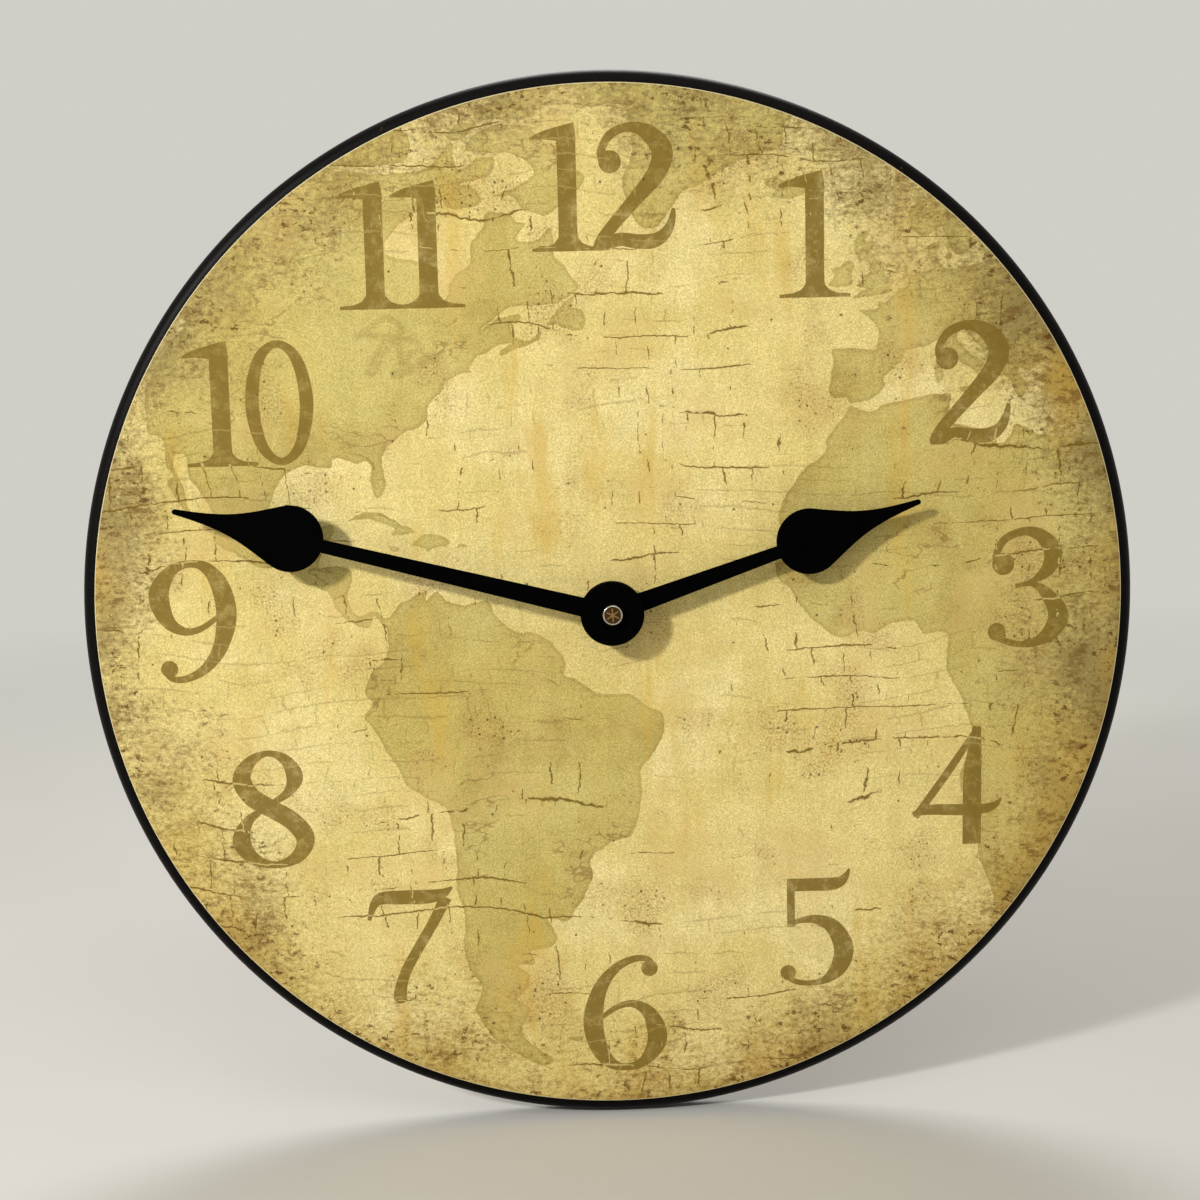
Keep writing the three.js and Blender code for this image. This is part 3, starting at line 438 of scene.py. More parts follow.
    def stained(self, paper):
        """Warm patches, amber water stains that ran down the sheet, and pale rubbed spots."""
        warm = self.ramp(self.clouds(32, 5, 0.65, seed=91), 0.5, 0.7, 0, 0.4)
        paper = self.mix(warm, paper, paint(211, 178, 109))
        damp = self.ramp(self.clouds(22, 4, 0.6, stretch=(0.7, 3.4, 1), seed=43), 0.57, 0.76, 0, 0.5)
        paper = self.mix(damp, paper, paint(203, 165, 68))
        rubbed = self.ramp(self.mottle, 0.4, 0.26, 0, 0.16)
        return self.mix(rubbed, paper, paint(240, 224, 162))

    def rusted(self, paper):
        """Rust in broken clusters with fine dots in it, and thin curling marks on the land."""
        clusters = self.ramp(self.clouds(26, 3, 0.6, seed=55), 0.52, 0.7)
        fine = self.clouds(0.7, 3, 0.7, seed=62)
        rust = self.times(clusters, self.ramp(fine, 0.47, 0.66, 0.06, 0.6))
        paper = self.mix(rust, paper, paint(142, 96, 34))
        dots = self.times(clusters, self.speckles(2.3, 0.5, 0.5), 0.85)
        paper = self.mix(dots, paper, paint(82, 54, 10))
        ridges = self.math("ABSOLUTE", self.total(self.clouds(7, 3, 0.5, stretch=(2, 1, 1), seed=67), -0.5))
        where = self.ramp(self.clouds(28, 3, 0.6, seed=68), 0.54, 0.64)
        curls = self.times(self.land, where, self.ramp(ridges, 0.024, 0.006), 0.55)
        return self.mix(curls, paper, paint(132, 98, 48))

    def dirtied(self, paper):
        """Dirt in ragged patches towards the rim, widest on the right, with streaky specks in it."""
        drift = self.ramp(self.clouds(44, 3, 0.55, seed=252), 0.28, 0.72, -10, 10)
        grit = self.ramp(self.clouds(1.5, 4, 0.8, stretch=(1.6, 1, 1), seed=49), 0.25, 0.75, -12, 12)
        lean = self.total(self.ramp(self.across, 0, 130, -3, 3), self.ramp(self.up, 60, 120, 0, -4))
        reach = self.total(self.length(self.place), drift, grit, lean)
        edge = self.math("POWER", self.ramp(reach, DIRT_START, DIRT_END), 1.8)
        warmth = self.total(self.clouds(40, 2, 0.5, seed=57), self.times(self.up, -0.002))
        dirt = self.mix(self.ramp(warmth, 0.4, 0.7), paint(134, 116, 66), paint(170, 137, 60))
        paper = self.mix(self.times(edge, 0.82), paper, dirt)
        grime = self.ramp(self.clouds(4.5, 5, 0.75, stretch=(2.2, 1, 1), seed=53), 0.52, 0.62, 0, 0.75)
        specks = self.math("MAXIMUM", grime, self.ramp(self.fleck, 0.54, 0.66, 0, 0.65))
        paper = self.mix(self.times(edge, specks), paper, paint(112, 80, 32))
        groups = self.ramp(self.clouds(15, 3, 0.6, seed=59), 0.46, 0.6)
        pits = self.ramp(self.clouds(1.9, 3, 0.65, stretch=(1.5, 1, 1), seed=58), 0.58, 0.64, 0, 0.85)
        pits = self.times(pits, groups, self.ramp(edge, 0.03, 0.3))
        return self.mix(pits, paper, paint(92, 60, 8))

    def inked(self, paper):
        """The numerals' ink, the cracks through it and a few dark dots."""
        ink = self.attribute("ink")
        wear = self.ramp(self.clouds(5, 4, 0.75, seed=81), 0.45, 0.72, 0.07, 0.34)
        printed = self.mix(ink, paper, self.mix(wear, paint(124, 100, 33), paper))
        worn = self.mix(ink, paint(106, 79, 0), paint(200, 178, 110))
        hairlines = self.times(self.cracks(*HAIRLINE_CELL, 140), 0.34)
        cracks = self.math("MAXIMUM", hairlines, self.cracks(*CRACK_CELL, 640))
        printed = self.mix(self.times(cracks, 0.92), printed, worn)
        dots = self.times(self.speckles(12, 0.5, 0.3), 0.8)
        return self.mix(dots, printed, paint(66, 46, 26))


def make_parchment():
    finish = Parchment()
    paper = finish.sea_and_land()
    for layer in (finish.toned, finish.stained, finish.rusted, finish.dirtied, finish.inked):
        paper = layer(paper)
    finish.colour(finish.mix(finish.attribute("cut"), paper, paint(206, 192, 146)))
    finish.bump(finish.grain, PAPER_GRAIN_DEPTH)
    return finish.material


# Plain finishes for painted, moulded and metal pieces; paint reaches the board's back as a ragged mist.

MIST_WIDTH = 7
MIST_SOLID_WIDTH = 1.5
PAINT_EDGE = (BOARD_BACK + 0.05, BOARD_BACK + 0.3)


def make_board_finish():
    """Black satin paint on the front and edge; bare pressed board with overspray on the back."""
    finish = Finish("painted_board", {"Specular IOR Level": 0.06})
    radius = finish.length(finish.scaled(finish.place, (1, 0, 1)))
    fibres = finish.clouds(1.1, 5, 0.75, seed=2)
    tufts = finish.clouds(5, 4, 0.6, stretch=(2.2, 1, 1), seed=9)
    bare = finish.mix(finish.ramp(fibres, 0.3, 0.72), paint(124, 92, 60), paint(176, 141, 98))
    bare = finish.mix(finish.ramp(tufts, 0.45, 0.75, 0, 0.5), bare, paint(108, 80, 52))
    black = finish.mix(finish.ramp(fibres, 0.3, 0.7), paint(4, 3, 2), paint(12, 9, 7))
    nicks = finish.ramp(finish.clouds(4.5, 3, 0.6, seed=31), 0.72, 0.75, 0, 0.7)
    black = finish.mix(nicks, black, paint(104, 84, 60))
    ragged = finish.total(
        radius, finish.ramp(tufts, 0.2, 0.8, -1.6, 1.6), finish.ramp(fibres, 0.2, 0.8, -1, 1)
    )
    misted = finish.ramp(ragged, BOARD_RADIUS - MIST_WIDTH, BOARD_RADIUS - MIST_SOLID_WIDTH)
    rear = finish.mix(misted, bare, black)
    in_front = finish.ramp(finish.depth(), *PAINT_EDGE)
    finish.colour(finish.mix(in_front, rear, black))
    finish.roughness(finish.ramp(in_front, 0, 1, 0.85, 0.42))
    finish.bump(fibres, 0.05)
    return finish.material


def make_plain(name, dark, light, grain, bumps, rough, metallic=0.0, gloss=0.5):
    """A finish with fine grain between two tones and a little relief, for paint, plastic and metal."""
    finish = Finish(name, {"Metallic": metallic, "Specular IOR Level": gloss})
    texture = finish.clouds(grain, 4, 0.65, seed=4)
    blotch = finish.clouds(grain * 14, 3, 0.5, seed=8)
    mixed = finish.total(finish.times(texture, 0.6), finish.times(blotch, 0.4))
    finish.colour(finish.mix(finish.ramp(mixed, 0.35, 0.65), paint(*dark), paint(*light)))
    finish.roughness(finish.ramp(mixed, 0.3, 0.7, rough - 0.05, rough + 0.07))
    finish.bump(texture, bumps)
    return finish.material


# Each slot's dark and light tone, grain size and relief in mm, roughness, metallic share and gloss.
PLAIN_FINISHES = {
    "hand_paint": ((1, 1, 1), (3, 3, 3), 0.5, 0.01, 0.6, 0, 0.01),
    "nickel": ((178, 172, 160), (205, 200, 188), 0.3, 0.004, 0.24, 1),
    "brass": ((172, 132, 66), (200, 160, 88), 0.3, 0.004, 0.3, 1),
    "steel": ((150, 152, 154), (186, 188, 190), 0.5, 0.006, 0.34, 1),
    "rubber": ((24, 24, 24), (34, 33, 32), 0.6, 0.03, 0.8),
    "case_plastic": ((24, 24, 25), (33, 33, 34), 0.4, 0.03, 0.55),
    "gear_plastic": ((216, 213, 203), (230, 227, 218), 0.6, 0.01, 0.42),
    "magnet": ((60, 59, 60), (82, 80, 80), 0.4, 0.01, 0.5, 0.6),
    "copper_wire": ((150, 78, 42), (186, 104, 60), 0.2, 0.02, 0.3, 1),
    "circuit_laminate": ((28, 70, 44), (40, 88, 56), 0.6, 0.01, 0.5),
    "chip_resin": ((16, 16, 17), (24, 24, 25), 0.3, 0.01, 0.5),
    "cell": ((44, 62, 84), (56, 76, 98), 0.5, 0.008, 0.35),
}
FINISHES = {"painted_board": make_board_finish(), "printed_paper": make_parchment()}
for plain_slot, values in PLAIN_FINISHES.items():
    FINISHES[plain_slot] = make_plain(plain_slot, *values)


# The dial's map: coasts in degrees of longitude and latitude, set out on the dial in millimetres.

PRIME_MERIDIAN = 79.8
EQUATOR = -18.8
LONGITUDE_SCALE = 107.45
LONGITUDE_SHRINK = 21.1
LATITUDE_SCALE = 121.2
COAST_SPACING = 0.7
COAST_WIGGLES = {3.2: 0.45, 1.3: 0.3}
WIGGLE_LAYERS = (0.4, 5.4)
SHORE_OFFSET = 1.4

NEW_WORLD = [
    (-141, 69.6), (-135, 69.3), (-128, 70.3), (-124, 69.7), (-115, 68.6), (-108, 67.9), (-102, 67.8),
    (-95, 68.6), (-94, 71.8), (-90.5, 69.3), (-88, 68.2), (-85.5, 69.6), (-82, 69.5), (-81.5, 67.3),
    (-86, 66.3), (-87, 64.5), (-90.5, 63.5), (-94, 61), (-94.7, 58.7), (-92.5, 57), (-88, 56.5),
    (-82.3, 55.2), (-82.2, 52.8), (-80.3, 51.2), (-78.8, 51.4), (-79.2, 54.2), (-77, 56), (-78.5, 58.7),
    (-77.4, 60.5), (-78, 62.4), (-73.7, 62.3), (-71.5, 61.2), (-69.6, 60.9), (-70, 59), (-68, 58.5),
    (-66, 58.8), (-64.5, 60.3), (-62.5, 58), (-61.5, 56.5), (-58.5, 54.8), (-55.7, 52.7), (-56.5, 51.5),
    (-60, 50.2), (-66.4, 50.2), (-69, 48.6), (-71.2, 46.9), (-68.5, 48.5), (-65, 49.2), (-64.3, 48.5),
    (-65.8, 47.8), (-64.8, 46.3), (-63.3, 45.8), (-61.5, 45.7), (-60, 46.9), (-60, 45.8), (-63.5, 44.5),
    (-65.8, 43.6), (-66.2, 44.3), (-64.5, 45.3), (-67, 44.9), (-69, 44), (-70.6, 43), (-70.7, 42),
    (-70, 41.7), (-72.5, 41.2), (-74, 40.5), (-74.2, 39.5), (-75.3, 38.2), (-76, 36.9), (-75.6, 35.3),
    (-77.5, 34.2), (-79.2, 33.2), (-81.2, 31.5), (-81.2, 29.7), (-80.1, 27), (-80.3, 25.3), (-81.2, 25.3),
    (-82.6, 27.6), (-82.8, 29.1), (-84.2, 30), (-85.5, 29.8), (-87.5, 30.3), (-89.3, 30.3), (-89.3, 29.1),
    (-91.3, 29.4), (-94, 29.6), (-96.5, 28.3), (-97.4, 26), (-97.8, 22.5), (-96.2, 19.3), (-94.5, 18.1),
    (-92, 18.6), (-90.6, 19.8), (-90.3, 21), (-87.2, 21.5), (-87.5, 19.5), (-88.2, 17.5), (-88.6, 15.8),
    (-86, 15.9), (-83.3, 15), (-83.7, 11.5), (-82, 9), (-79.6, 9.5), (-77.4, 8.6), (-75.6, 10.5),
    (-74.3, 11.1), (-71.8, 12.3), (-71.5, 10.9), (-70, 12), (-68, 10.6), (-64.5, 10.2), (-61.9, 10.7),
    (-60.8, 8.6), (-57.5, 6.3), (-54, 5.9), (-51.5, 4.2), (-50, 1.8), (-50.2, 0), (-48, -0.8),
    (-44.5, -2.7), (-40, -2.9), (-37, -4.8), (-35.2, -5.5), (-34.8, -7.5), (-35.5, -9.5), (-37.2, -11.5),
    (-38.9, -13.5), (-39.2, -17.5), (-40.9, -21.8), (-42, -23), (-45, -23.6), (-48.5, -26),
    (-48.8, -28.5), (-50.5, -30.8), (-53.3, -33.8), (-54.9, -34.9), (-57.8, -34.4), (-57.2, -36.3),
    (-57.7, -38.1), (-62, -39), (-62.3, -40.8), (-65, -41), (-63.7, -42.6), (-65.3, -44.6), (-67.5, -46),
    (-65.8, -47.5), (-68.9, -50.5), (-68.4, -52.3), (-65.2, -54.7), (-67.5, -55.7), (-71.5, -54),
    (-74.5, -51.5), (-75.5, -48.5), (-75.3, -46.7), (-72.9, -44), (-73.7, -41.5), (-73.4, -38),
    (-71.6, -33.5), (-71.5, -29.5), (-70.4, -25), (-70.2, -19), (-71.4, -17.6), (-75.5, -15.2),
    (-77.2, -12), (-79.8, -7.2), (-81.3, -5), (-79.9, -3), (-80.9, -1.5), (-80, 0.8), (-77.3, 3.6),
    (-77.5, 6.7), (-78.2, 7.7), (-79.5, 8.9), (-80.4, 7.4), (-82.9, 8.2), (-85.2, 10), (-85.8, 11.2),
    (-87.6, 12.9), (-91.3, 13.9), (-94.5, 16.2), (-97, 15.9), (-101, 17.5), (-104.3, 19), (-105.6, 20.4),
    (-105.5, 22.6), (-108, 25.2), (-109.7, 26.8), (-111.5, 28.3), (-113, 31.2), (-114.8, 31.7),
    (-114.6, 30.2), (-112.5, 27.5), (-110.8, 24.8), (-109.5, 23.1), (-110.3, 23.4), (-112.2, 25),
    (-114.9, 27.8), (-114.2, 28.6), (-115.8, 30.3), (-117.2, 32.7), (-118.5, 34), (-120.6, 34.5),
    (-122.4, 37.3), (-124.2, 40.5), (-124.1, 43.5), (-124, 46.3), (-123, 49), (-127, 51), (-130, 54),
    (-134, 58), (-141, 60),
]

OLD_WORLD = [
    (30, 71), (20, 70), (14, 67.5), (10.5, 64), (5.2, 62), (5, 60), (5.8, 58.8), (7.5, 58), (10.5, 59.3),
    (11.3, 58.5), (12.5, 56.3), (14.2, 55.5), (16, 56.5), (17, 59), (19, 60.3), (17.3, 62), (21, 64.8),
    (24.5, 65.8), (25, 64.8), (21.3, 62.5), (22.5, 60), (28, 60.4), (24, 59.2), (23.5, 57.5),
    (21.3, 57.3), (21, 55.3), (18.5, 54.7), (14, 54), (11, 54), (9.8, 55.5), (10.5, 57.6), (8.3, 57),
    (8.2, 55.2), (8.8, 54), (7, 53.5), (4.8, 53), (3.7, 51.6), (1.6, 50.6), (0.2, 49.6), (-1.3, 49.6),
    (-1.8, 48.7), (-4.6, 48.5), (-2.5, 47.3), (-1.2, 45.5), (-1.6, 43.4), (-4.5, 43.5), (-8.5, 43.6),
    (-9.3, 42.9), (-8.8, 41.5), (-9.5, 38.8), (-8.8, 37.1), (-6.6, 37), (-5.5, 36.1), (-2.2, 36.8),
    (-0.6, 38), (0.1, 38.8), (-0.3, 39.6), (2.2, 41.4), (3.2, 42.3), (3.1, 43.1), (5, 43.4), (7.5, 43.8),
    (9, 44.4), (10.3, 43.5), (12.3, 41.7), (15.3, 40), (16, 38.2), (17, 39.1), (16.7, 40.4), (18.4, 40),
    (16.1, 41.8), (13.7, 43.2), (12.3, 44.8), (13.5, 45.7), (14.5, 45.2), (16, 43.5), (19.3, 41.9),
    (19.4, 40.3), (21.2, 38.3), (21.7, 36.9), (23, 36.6), (23.9, 38), (22.9, 39.3), (22.8, 40.5),
    (24, 40), (26, 40.8), (28.9, 41), (26.3, 39.3), (27, 37.5), (28.5, 36.7), (30.6, 36.8), (32.5, 36.1),
    (36, 36.6), (35.8, 34.5), (34.5, 31.6), (32.5, 31.2), (31, 31.5), (29, 30.9), (25, 31.6),
    (21.5, 32.9), (20, 31), (18, 30.4), (15.3, 32.3), (11.5, 33.2), (10.3, 34.3), (10.9, 36.9),
    (9.8, 37.3), (5, 36.8), (0, 35.9), (-2.2, 35.1), (-5.3, 35.6), (-6, 35.8), (-7.5, 33.7), (-9.6, 31.5),
    (-9.8, 29.8), (-11.5, 28.3), (-13, 27.7), (-14.8, 25.7), (-16, 23.7), (-17, 21), (-16.3, 19),
    (-16.5, 16), (-17.5, 14.7), (-16.7, 12.5), (-15, 11), (-13.3, 8.9), (-11.4, 6.8), (-7.6, 4.4),
    (-4, 5.2), (-2, 4.8), (1.2, 6.1), (4.4, 6.3), (5.8, 4.4), (8.5, 4.7), (9.6, 3.9), (9.3, 1), (9.5, -1),
    (11.8, -4.6), (12.3, -6), (13.3, -8.8), (13.8, -11), (12.3, -14), (11.8, -16.5), (12.5, -18.8),
    (14.4, -22.5), (15.2, -27), (17.8, -32), (18.4, -34.2), (20, -34.8), (25, -34), (30, -31), (33, -27),
    (35.5, -24), (35, -20), (39, -17), (40.5, -12), (39, -6), (42, -1.5), (47, 4), (60, 20), (70, 30),
    (70, 71),
]

ISLANDS = {
    "Newfoundland": [
        (-59.3, 47.7), (-57.3, 50.7), (-55.5, 51.5), (-56, 50), (-53.6, 49.3), (-52.8, 47.2),
        (-53.8, 46.7), (-55.8, 47), (-57.5, 47.6),
    ],
    "Cuba": [
        (-84.9, 21.9), (-82.5, 23.1), (-79.5, 22.8), (-77, 21.6), (-74.2, 20.3), (-77.5, 19.9),
        (-77.3, 20.7), (-78.5, 21.2), (-81.5, 22.1), (-83.2, 22.2),
    ],
    "Hispaniola": [
        (-74.4, 18.4), (-72.7, 19.9), (-69.9, 19.7), (-68.4, 18.6), (-70.6, 18.2), (-71.5, 17.7),
        (-72.5, 18.2),
    ],
    "Jamaica": [(-78.3, 18.4), (-77, 18.5), (-76.2, 18), (-77.2, 17.8)],
    "Puerto Rico": [(-67.2, 18.4), (-65.7, 18.4), (-65.8, 18), (-67.2, 18)],
    "Greenland": [
        (-73, 78.3), (-68, 76), (-60, 76), (-55, 72), (-53.5, 69), (-53.5, 66.5), (-51.5, 63.8),
        (-48.5, 61), (-44.5, 59.9), (-42.8, 61.5), (-40.5, 64.5), (-37, 65.8), (-32, 68), (-25.5, 69.5),
        (-22, 70.5), (-22, 73), (-19, 76), (-18, 79), (-12, 81.5), (-30, 83.5), (-60, 82), (-70, 80),
    ],
    "Baffin": [
        (-61.5, 66.7), (-64, 63.5), (-66, 62), (-71, 62.8), (-74.5, 64.5), (-78, 64.5), (-73, 66.5),
        (-73, 68), (-79, 70), (-89, 70.5), (-89, 73), (-80, 73.7), (-75, 72), (-68, 70.2), (-67, 68.5),
    ],
    "Ellesmere": [
        (-90, 76.5), (-80, 76.3), (-78, 78), (-73, 79.5), (-62, 82.5), (-80, 83), (-92, 81), (-88, 78),
    ],
    "Devon": [(-91, 76.6), (-80, 75.6), (-80, 74.6), (-92, 74.7)],
    "Victoria": [(-117, 69.5), (-105, 68.8), (-101, 70), (-105, 73), (-115, 73), (-118, 71.3)],
    "Somerset": [(-95, 74), (-90.5, 73.8), (-92, 72), (-95.5, 72.5)],
    "Southampton": [(-87, 65.5), (-84, 66), (-80.5, 63.8), (-84, 63), (-87, 63.6)],
    "Iceland": [
        (-24.3, 65.6), (-22.3, 66.4), (-20.3, 65.8), (-18, 66.1), (-15, 66.2), (-13.6, 65), (-15, 64.3),
        (-18.7, 63.4), (-22.6, 63.9), (-22, 64.6),
    ],
    "Britain": [
        (-5.7, 50.1), (-3.5, 50.3), (0.3, 50.8), (1.4, 51.2), (0.8, 51.6), (1.7, 52.6), (0.3, 53),
        (-0.2, 54.2), (-1.6, 55.4), (-2.2, 56), (-3.2, 56), (-1.8, 57.5), (-4, 57.6), (-3.1, 58.6),
        (-5, 58.6), (-5.8, 57.3), (-5.6, 56.3), (-4.8, 55), (-3.3, 54.9), (-3, 53.9), (-3.1, 53.4),
        (-4.6, 53.3), (-4.2, 52.5), (-5.2, 51.8), (-3.2, 51.4), (-4.3, 51.1),
    ],
    "Ireland": [
        (-6, 52.2), (-6.1, 53.5), (-5.6, 54.6), (-7.3, 55.3), (-8.5, 54.4), (-10, 54.2), (-9.2, 53.2),
        (-10.3, 52), (-8.5, 51.7),
    ],
    "Sicily": [(12.5, 38), (15.5, 38.2), (15.2, 36.7), (13, 37.3)],
    "Sardinia": [(8.3, 40.8), (9.6, 41.2), (9.6, 39.2), (8.5, 39)],
    "Corsica": [(8.7, 42.4), (9.5, 42.8), (9.4, 41.5)],
    "Crete": [(23.6, 35.4), (26.2, 35.2), (24.8, 34.9)],
    "Zealand": [(11.2, 55.7), (12.5, 56), (12.2, 55.1), (11.2, 55.2)],
    "Falklands": [(-61, -51.7), (-57.8, -51.6), (-59, -52.3)],
}

LAKES = {
    "Superior": [
        (-92, 46.8), (-89.5, 48.2), (-88, 48.8), (-84.8, 47.8), (-84.8, 46.6), (-87.5, 46.5),
        (-90.5, 46.8),
    ],
    "Michigan": [
        (-87.9, 42.3), (-87, 44.8), (-86.5, 45.9), (-85, 45.7), (-86.3, 44), (-86.5, 42), (-87.4, 41.7),
    ],
    "Huron": [
        (-84, 46), (-81.5, 45.8), (-80, 44.7), (-81.7, 44.2), (-81.8, 43.3), (-82.4, 43), (-83.3, 44.3),
    ],
    "Erie": [(-83.3, 41.8), (-80.5, 42.6), (-78.9, 42.9), (-81.2, 41.7), (-82.7, 41.4)],
    "Ontario": [(-79.7, 43.3), (-77.5, 43.9), (-76.2, 44), (-77, 43.3), (-79, 43.2)],
}


def on_dial(longitude, latitude):
    """Where a place on the globe falls on the dial, in mm right of and above the centre."""
    north = math.radians(latitude)
    scale = LONGITUDE_SCALE - LONGITUDE_SHRINK * north ** 2
    return PRIME_MERIDIAN + scale * math.radians(longitude), EQUATOR + LATITUDE_SCALE * north


def coast_loop(degrees):
    """A smooth closed coast on the dial, with a coarse and a fine wiggle."""
    loop = smooth([on_dial(*point) for point in degrees], COAST_SPACING, closed=True)
    for length, size in COAST_WIGGLES.items():
        places = loop / length
        loop += [[size * noise.noise((x, y, layer)) for layer in WIGGLE_LAYERS] for x, y in places]
    return loop


# The numerals: pen strokes of (across, up, width) and balls of (across, up, radius), for height 1.

FIGURES = {
    "0": {
        "strokes": [[(0.273, 0.965, 0.06), (0.12, 0.84, 0.09), (0.055, 0.5, 0.11), (0.12, 0.16, 0.09),
                     (0.273, 0.03, 0.06), (0.425, 0.16, 0.09), (0.49, 0.5, 0.11), (0.425, 0.84, 0.09),
                     (0.273, 0.965, 0.06)]],
    },
    "1": {
        "strokes": [
            [(0.288, 0.94, 0.15), (0.287, 0.5, 0.15), (0.287, 0.17, 0.15), (0.287, 0.1, 0.165),
             (0.287, 0.062, 0.23), (0.287, 0.04, 0.34), (0.287, 0.02, 0.42)],
            [(0, 0.014, 0.026), (0.14, 0.021, 0.038), (0.287, 0.022, 0.044), (0.43, 0.021, 0.038),
             (0.57, 0.014, 0.026)],
            [(0, 0.878, 0.02), (0.12, 0.905, 0.07), (0.25, 0.915, 0.12), (0.36, 0.93, 0.14)],
        ],
    },
    "2": {
        "strokes": [
            [(0.1, 0.69, 0.08), (0.085, 0.78, 0.065), (0.16, 0.9, 0.07), (0.31, 0.955, 0.075),
             (0.46, 0.905, 0.13), (0.565, 0.77, 0.17), (0.52, 0.6, 0.15), (0.35, 0.4, 0.115),
             (0.19, 0.225, 0.1), (0.085, 0.1, 0.095), (0.03, 0.03, 0.06)],
            [(0.01, 0.02, 0.04), (0.1, 0.05, 0.1), (0.22, 0.085, 0.105), (0.36, 0.065, 0.115),
             (0.49, 0.07, 0.115), (0.58, 0.125, 0.09), (0.63, 0.215, 0.065), (0.65, 0.32, 0.03)],
        ],
        "balls": [(0.15, 0.69, 0.09)],
    },
    "3": {
        "strokes": [
            [(0.07, 0.69, 0.06), (0.07, 0.785, 0.06), (0.14, 0.9, 0.065), (0.295, 0.96, 0.07),
             (0.435, 0.92, 0.11), (0.535, 0.79, 0.15), (0.5, 0.655, 0.12), (0.4, 0.565, 0.06),
             (0.31, 0.525, 0.03)],
            [(0.225, 0.51, 0.04), (0.35, 0.525, 0.04), (0.46, 0.465, 0.09), (0.578, 0.29, 0.165),
             (0.54, 0.15, 0.15), (0.42, 0.055, 0.085), (0.28, 0.027, 0.055), (0.13, 0.06, 0.055),
             (0.05, 0.125, 0.06)],
        ],
        "balls": [(0.125, 0.695, 0.092), (0.073, 0.135, 0.074)],
    },
    "4": {
        "strokes": [
            [(0.494, 0, 0.155), (0.494, 0.3, 0.155), (0.498, 0.6, 0.15), (0.515, 0.8, 0.115),
             (0.535, 1, 0.07)],
            [(0.54, 0.985, 0.05), (0.28, 0.6, 0.066), (0.02, 0.245, 0.06)],
            [(0, 0.262, 0.045), (0.12, 0.3, 0.085), (0.42, 0.295, 0.095), (0.6, 0.3, 0.085),
             (0.69, 0.33, 0.055), (0.74, 0.385, 0.02)],
        ],
    },
    "5": {
        "strokes": [
            [(0.065, 0.872, 0.11), (0.27, 0.872, 0.11), (0.43, 0.872, 0.11), (0.52, 0.895, 0.085),
             (0.57, 0.955, 0.045), (0.588, 1, 0.015)],
            [(0.097, 0.92, 0.065), (0.097, 0.51, 0.065)],
            [(0.07, 0.53, 0.03), (0.18, 0.565, 0.05), (0.31, 0.57, 0.08), (0.45, 0.5, 0.13),
             (0.538, 0.32, 0.165), (0.495, 0.15, 0.14), (0.37, 0.04, 0.065), (0.22, 0.02, 0.045),
             (0.1, 0.05, 0.05), (0.05, 0.11, 0.05)],
        ],
        "balls": [(0.068, 0.115, 0.066)],
    },
    "6": {
        "strokes": [
            [(0.605, 0.9, 0.05), (0.55, 0.965, 0.05), (0.43, 0.967, 0.06), (0.28, 0.89, 0.08),
             (0.15, 0.72, 0.12), (0.085, 0.46, 0.165), (0.12, 0.225, 0.15), (0.22, 0.07, 0.1),
             (0.35, 0.027, 0.06), (0.5, 0.07, 0.09), (0.61, 0.22, 0.155), (0.615, 0.36, 0.16),
             (0.545, 0.51, 0.11), (0.42, 0.58, 0.065), (0.29, 0.555, 0.05), (0.16, 0.47, 0.04)],
        ],
        "balls": [(0.568, 0.885, 0.07)],
    },
    "7": {
        "strokes": [
            [(0.02, 0.73, 0.03), (0.065, 0.86, 0.07), (0.13, 0.915, 0.105), (0.3, 0.92, 0.12),
             (0.5, 0.92, 0.12), (0.63, 0.94, 0.09), (0.72, 0.995, 0.02)],
            [(0.665, 0.91, 0.1), (0.55, 0.69, 0.09), (0.425, 0.485, 0.088), (0.32, 0.3, 0.088),
             (0.265, 0.15, 0.1), (0.255, 0.06, 0.11)],
        ],
        "balls": [(0.255, 0.06, 0.057)],
    },
    "8": {
        "strokes": [
            [(0.32, 0.975, 0.05), (0.18, 0.91, 0.095), (0.1, 0.77, 0.15), (0.17, 0.62, 0.155),
             (0.33, 0.51, 0.15), (0.5, 0.4, 0.155), (0.6, 0.25, 0.155), (0.53, 0.1, 0.11),
             (0.35, 0.033, 0.06), (0.17, 0.09, 0.105), (0.075, 0.24, 0.15), (0.13, 0.4, 0.09),
             (0.24, 0.49, 0.05), (0.36, 0.565, 0.05), (0.48, 0.65, 0.08), (0.535, 0.78, 0.14),
             (0.46, 0.92, 0.09), (0.32, 0.975, 0.05)],
        ],
    },
}
NUMERAL_HEIGHT = 35.4
NUMERAL_PLACES = {
    "12": (0.3, 119.9), "1": (59.8, 105.5), "2": (103.9, 63.1), "3": (121.2, 3.5), "4": (100.6, -54.9),
    "5": (58.7, -96.7), "6": (1.1, -121.2), "7": (-61.6, -98.5), "8": (-100.4, -56.1), "9": (-120.2, -0.1),
    "10": (-101.4, 61.9), "11": (-57, 105),
}
NUMERAL_WIDTHS = {
    "1": 0.57, "2": 0.66, "3": 0.66, "4": 0.74, "5": 0.62, "6": 0.7, "7": 0.72, "8": 0.68, "9": 0.7,
    "10": 1.03, "11": 0.99, "12": 1.14,
}
SECOND_FIGURE_STEP = {"10": 0.485, "11": 0.425, "12": 0.48}
STROKE_SPACING = 0.9
BALL_POINTS = 24


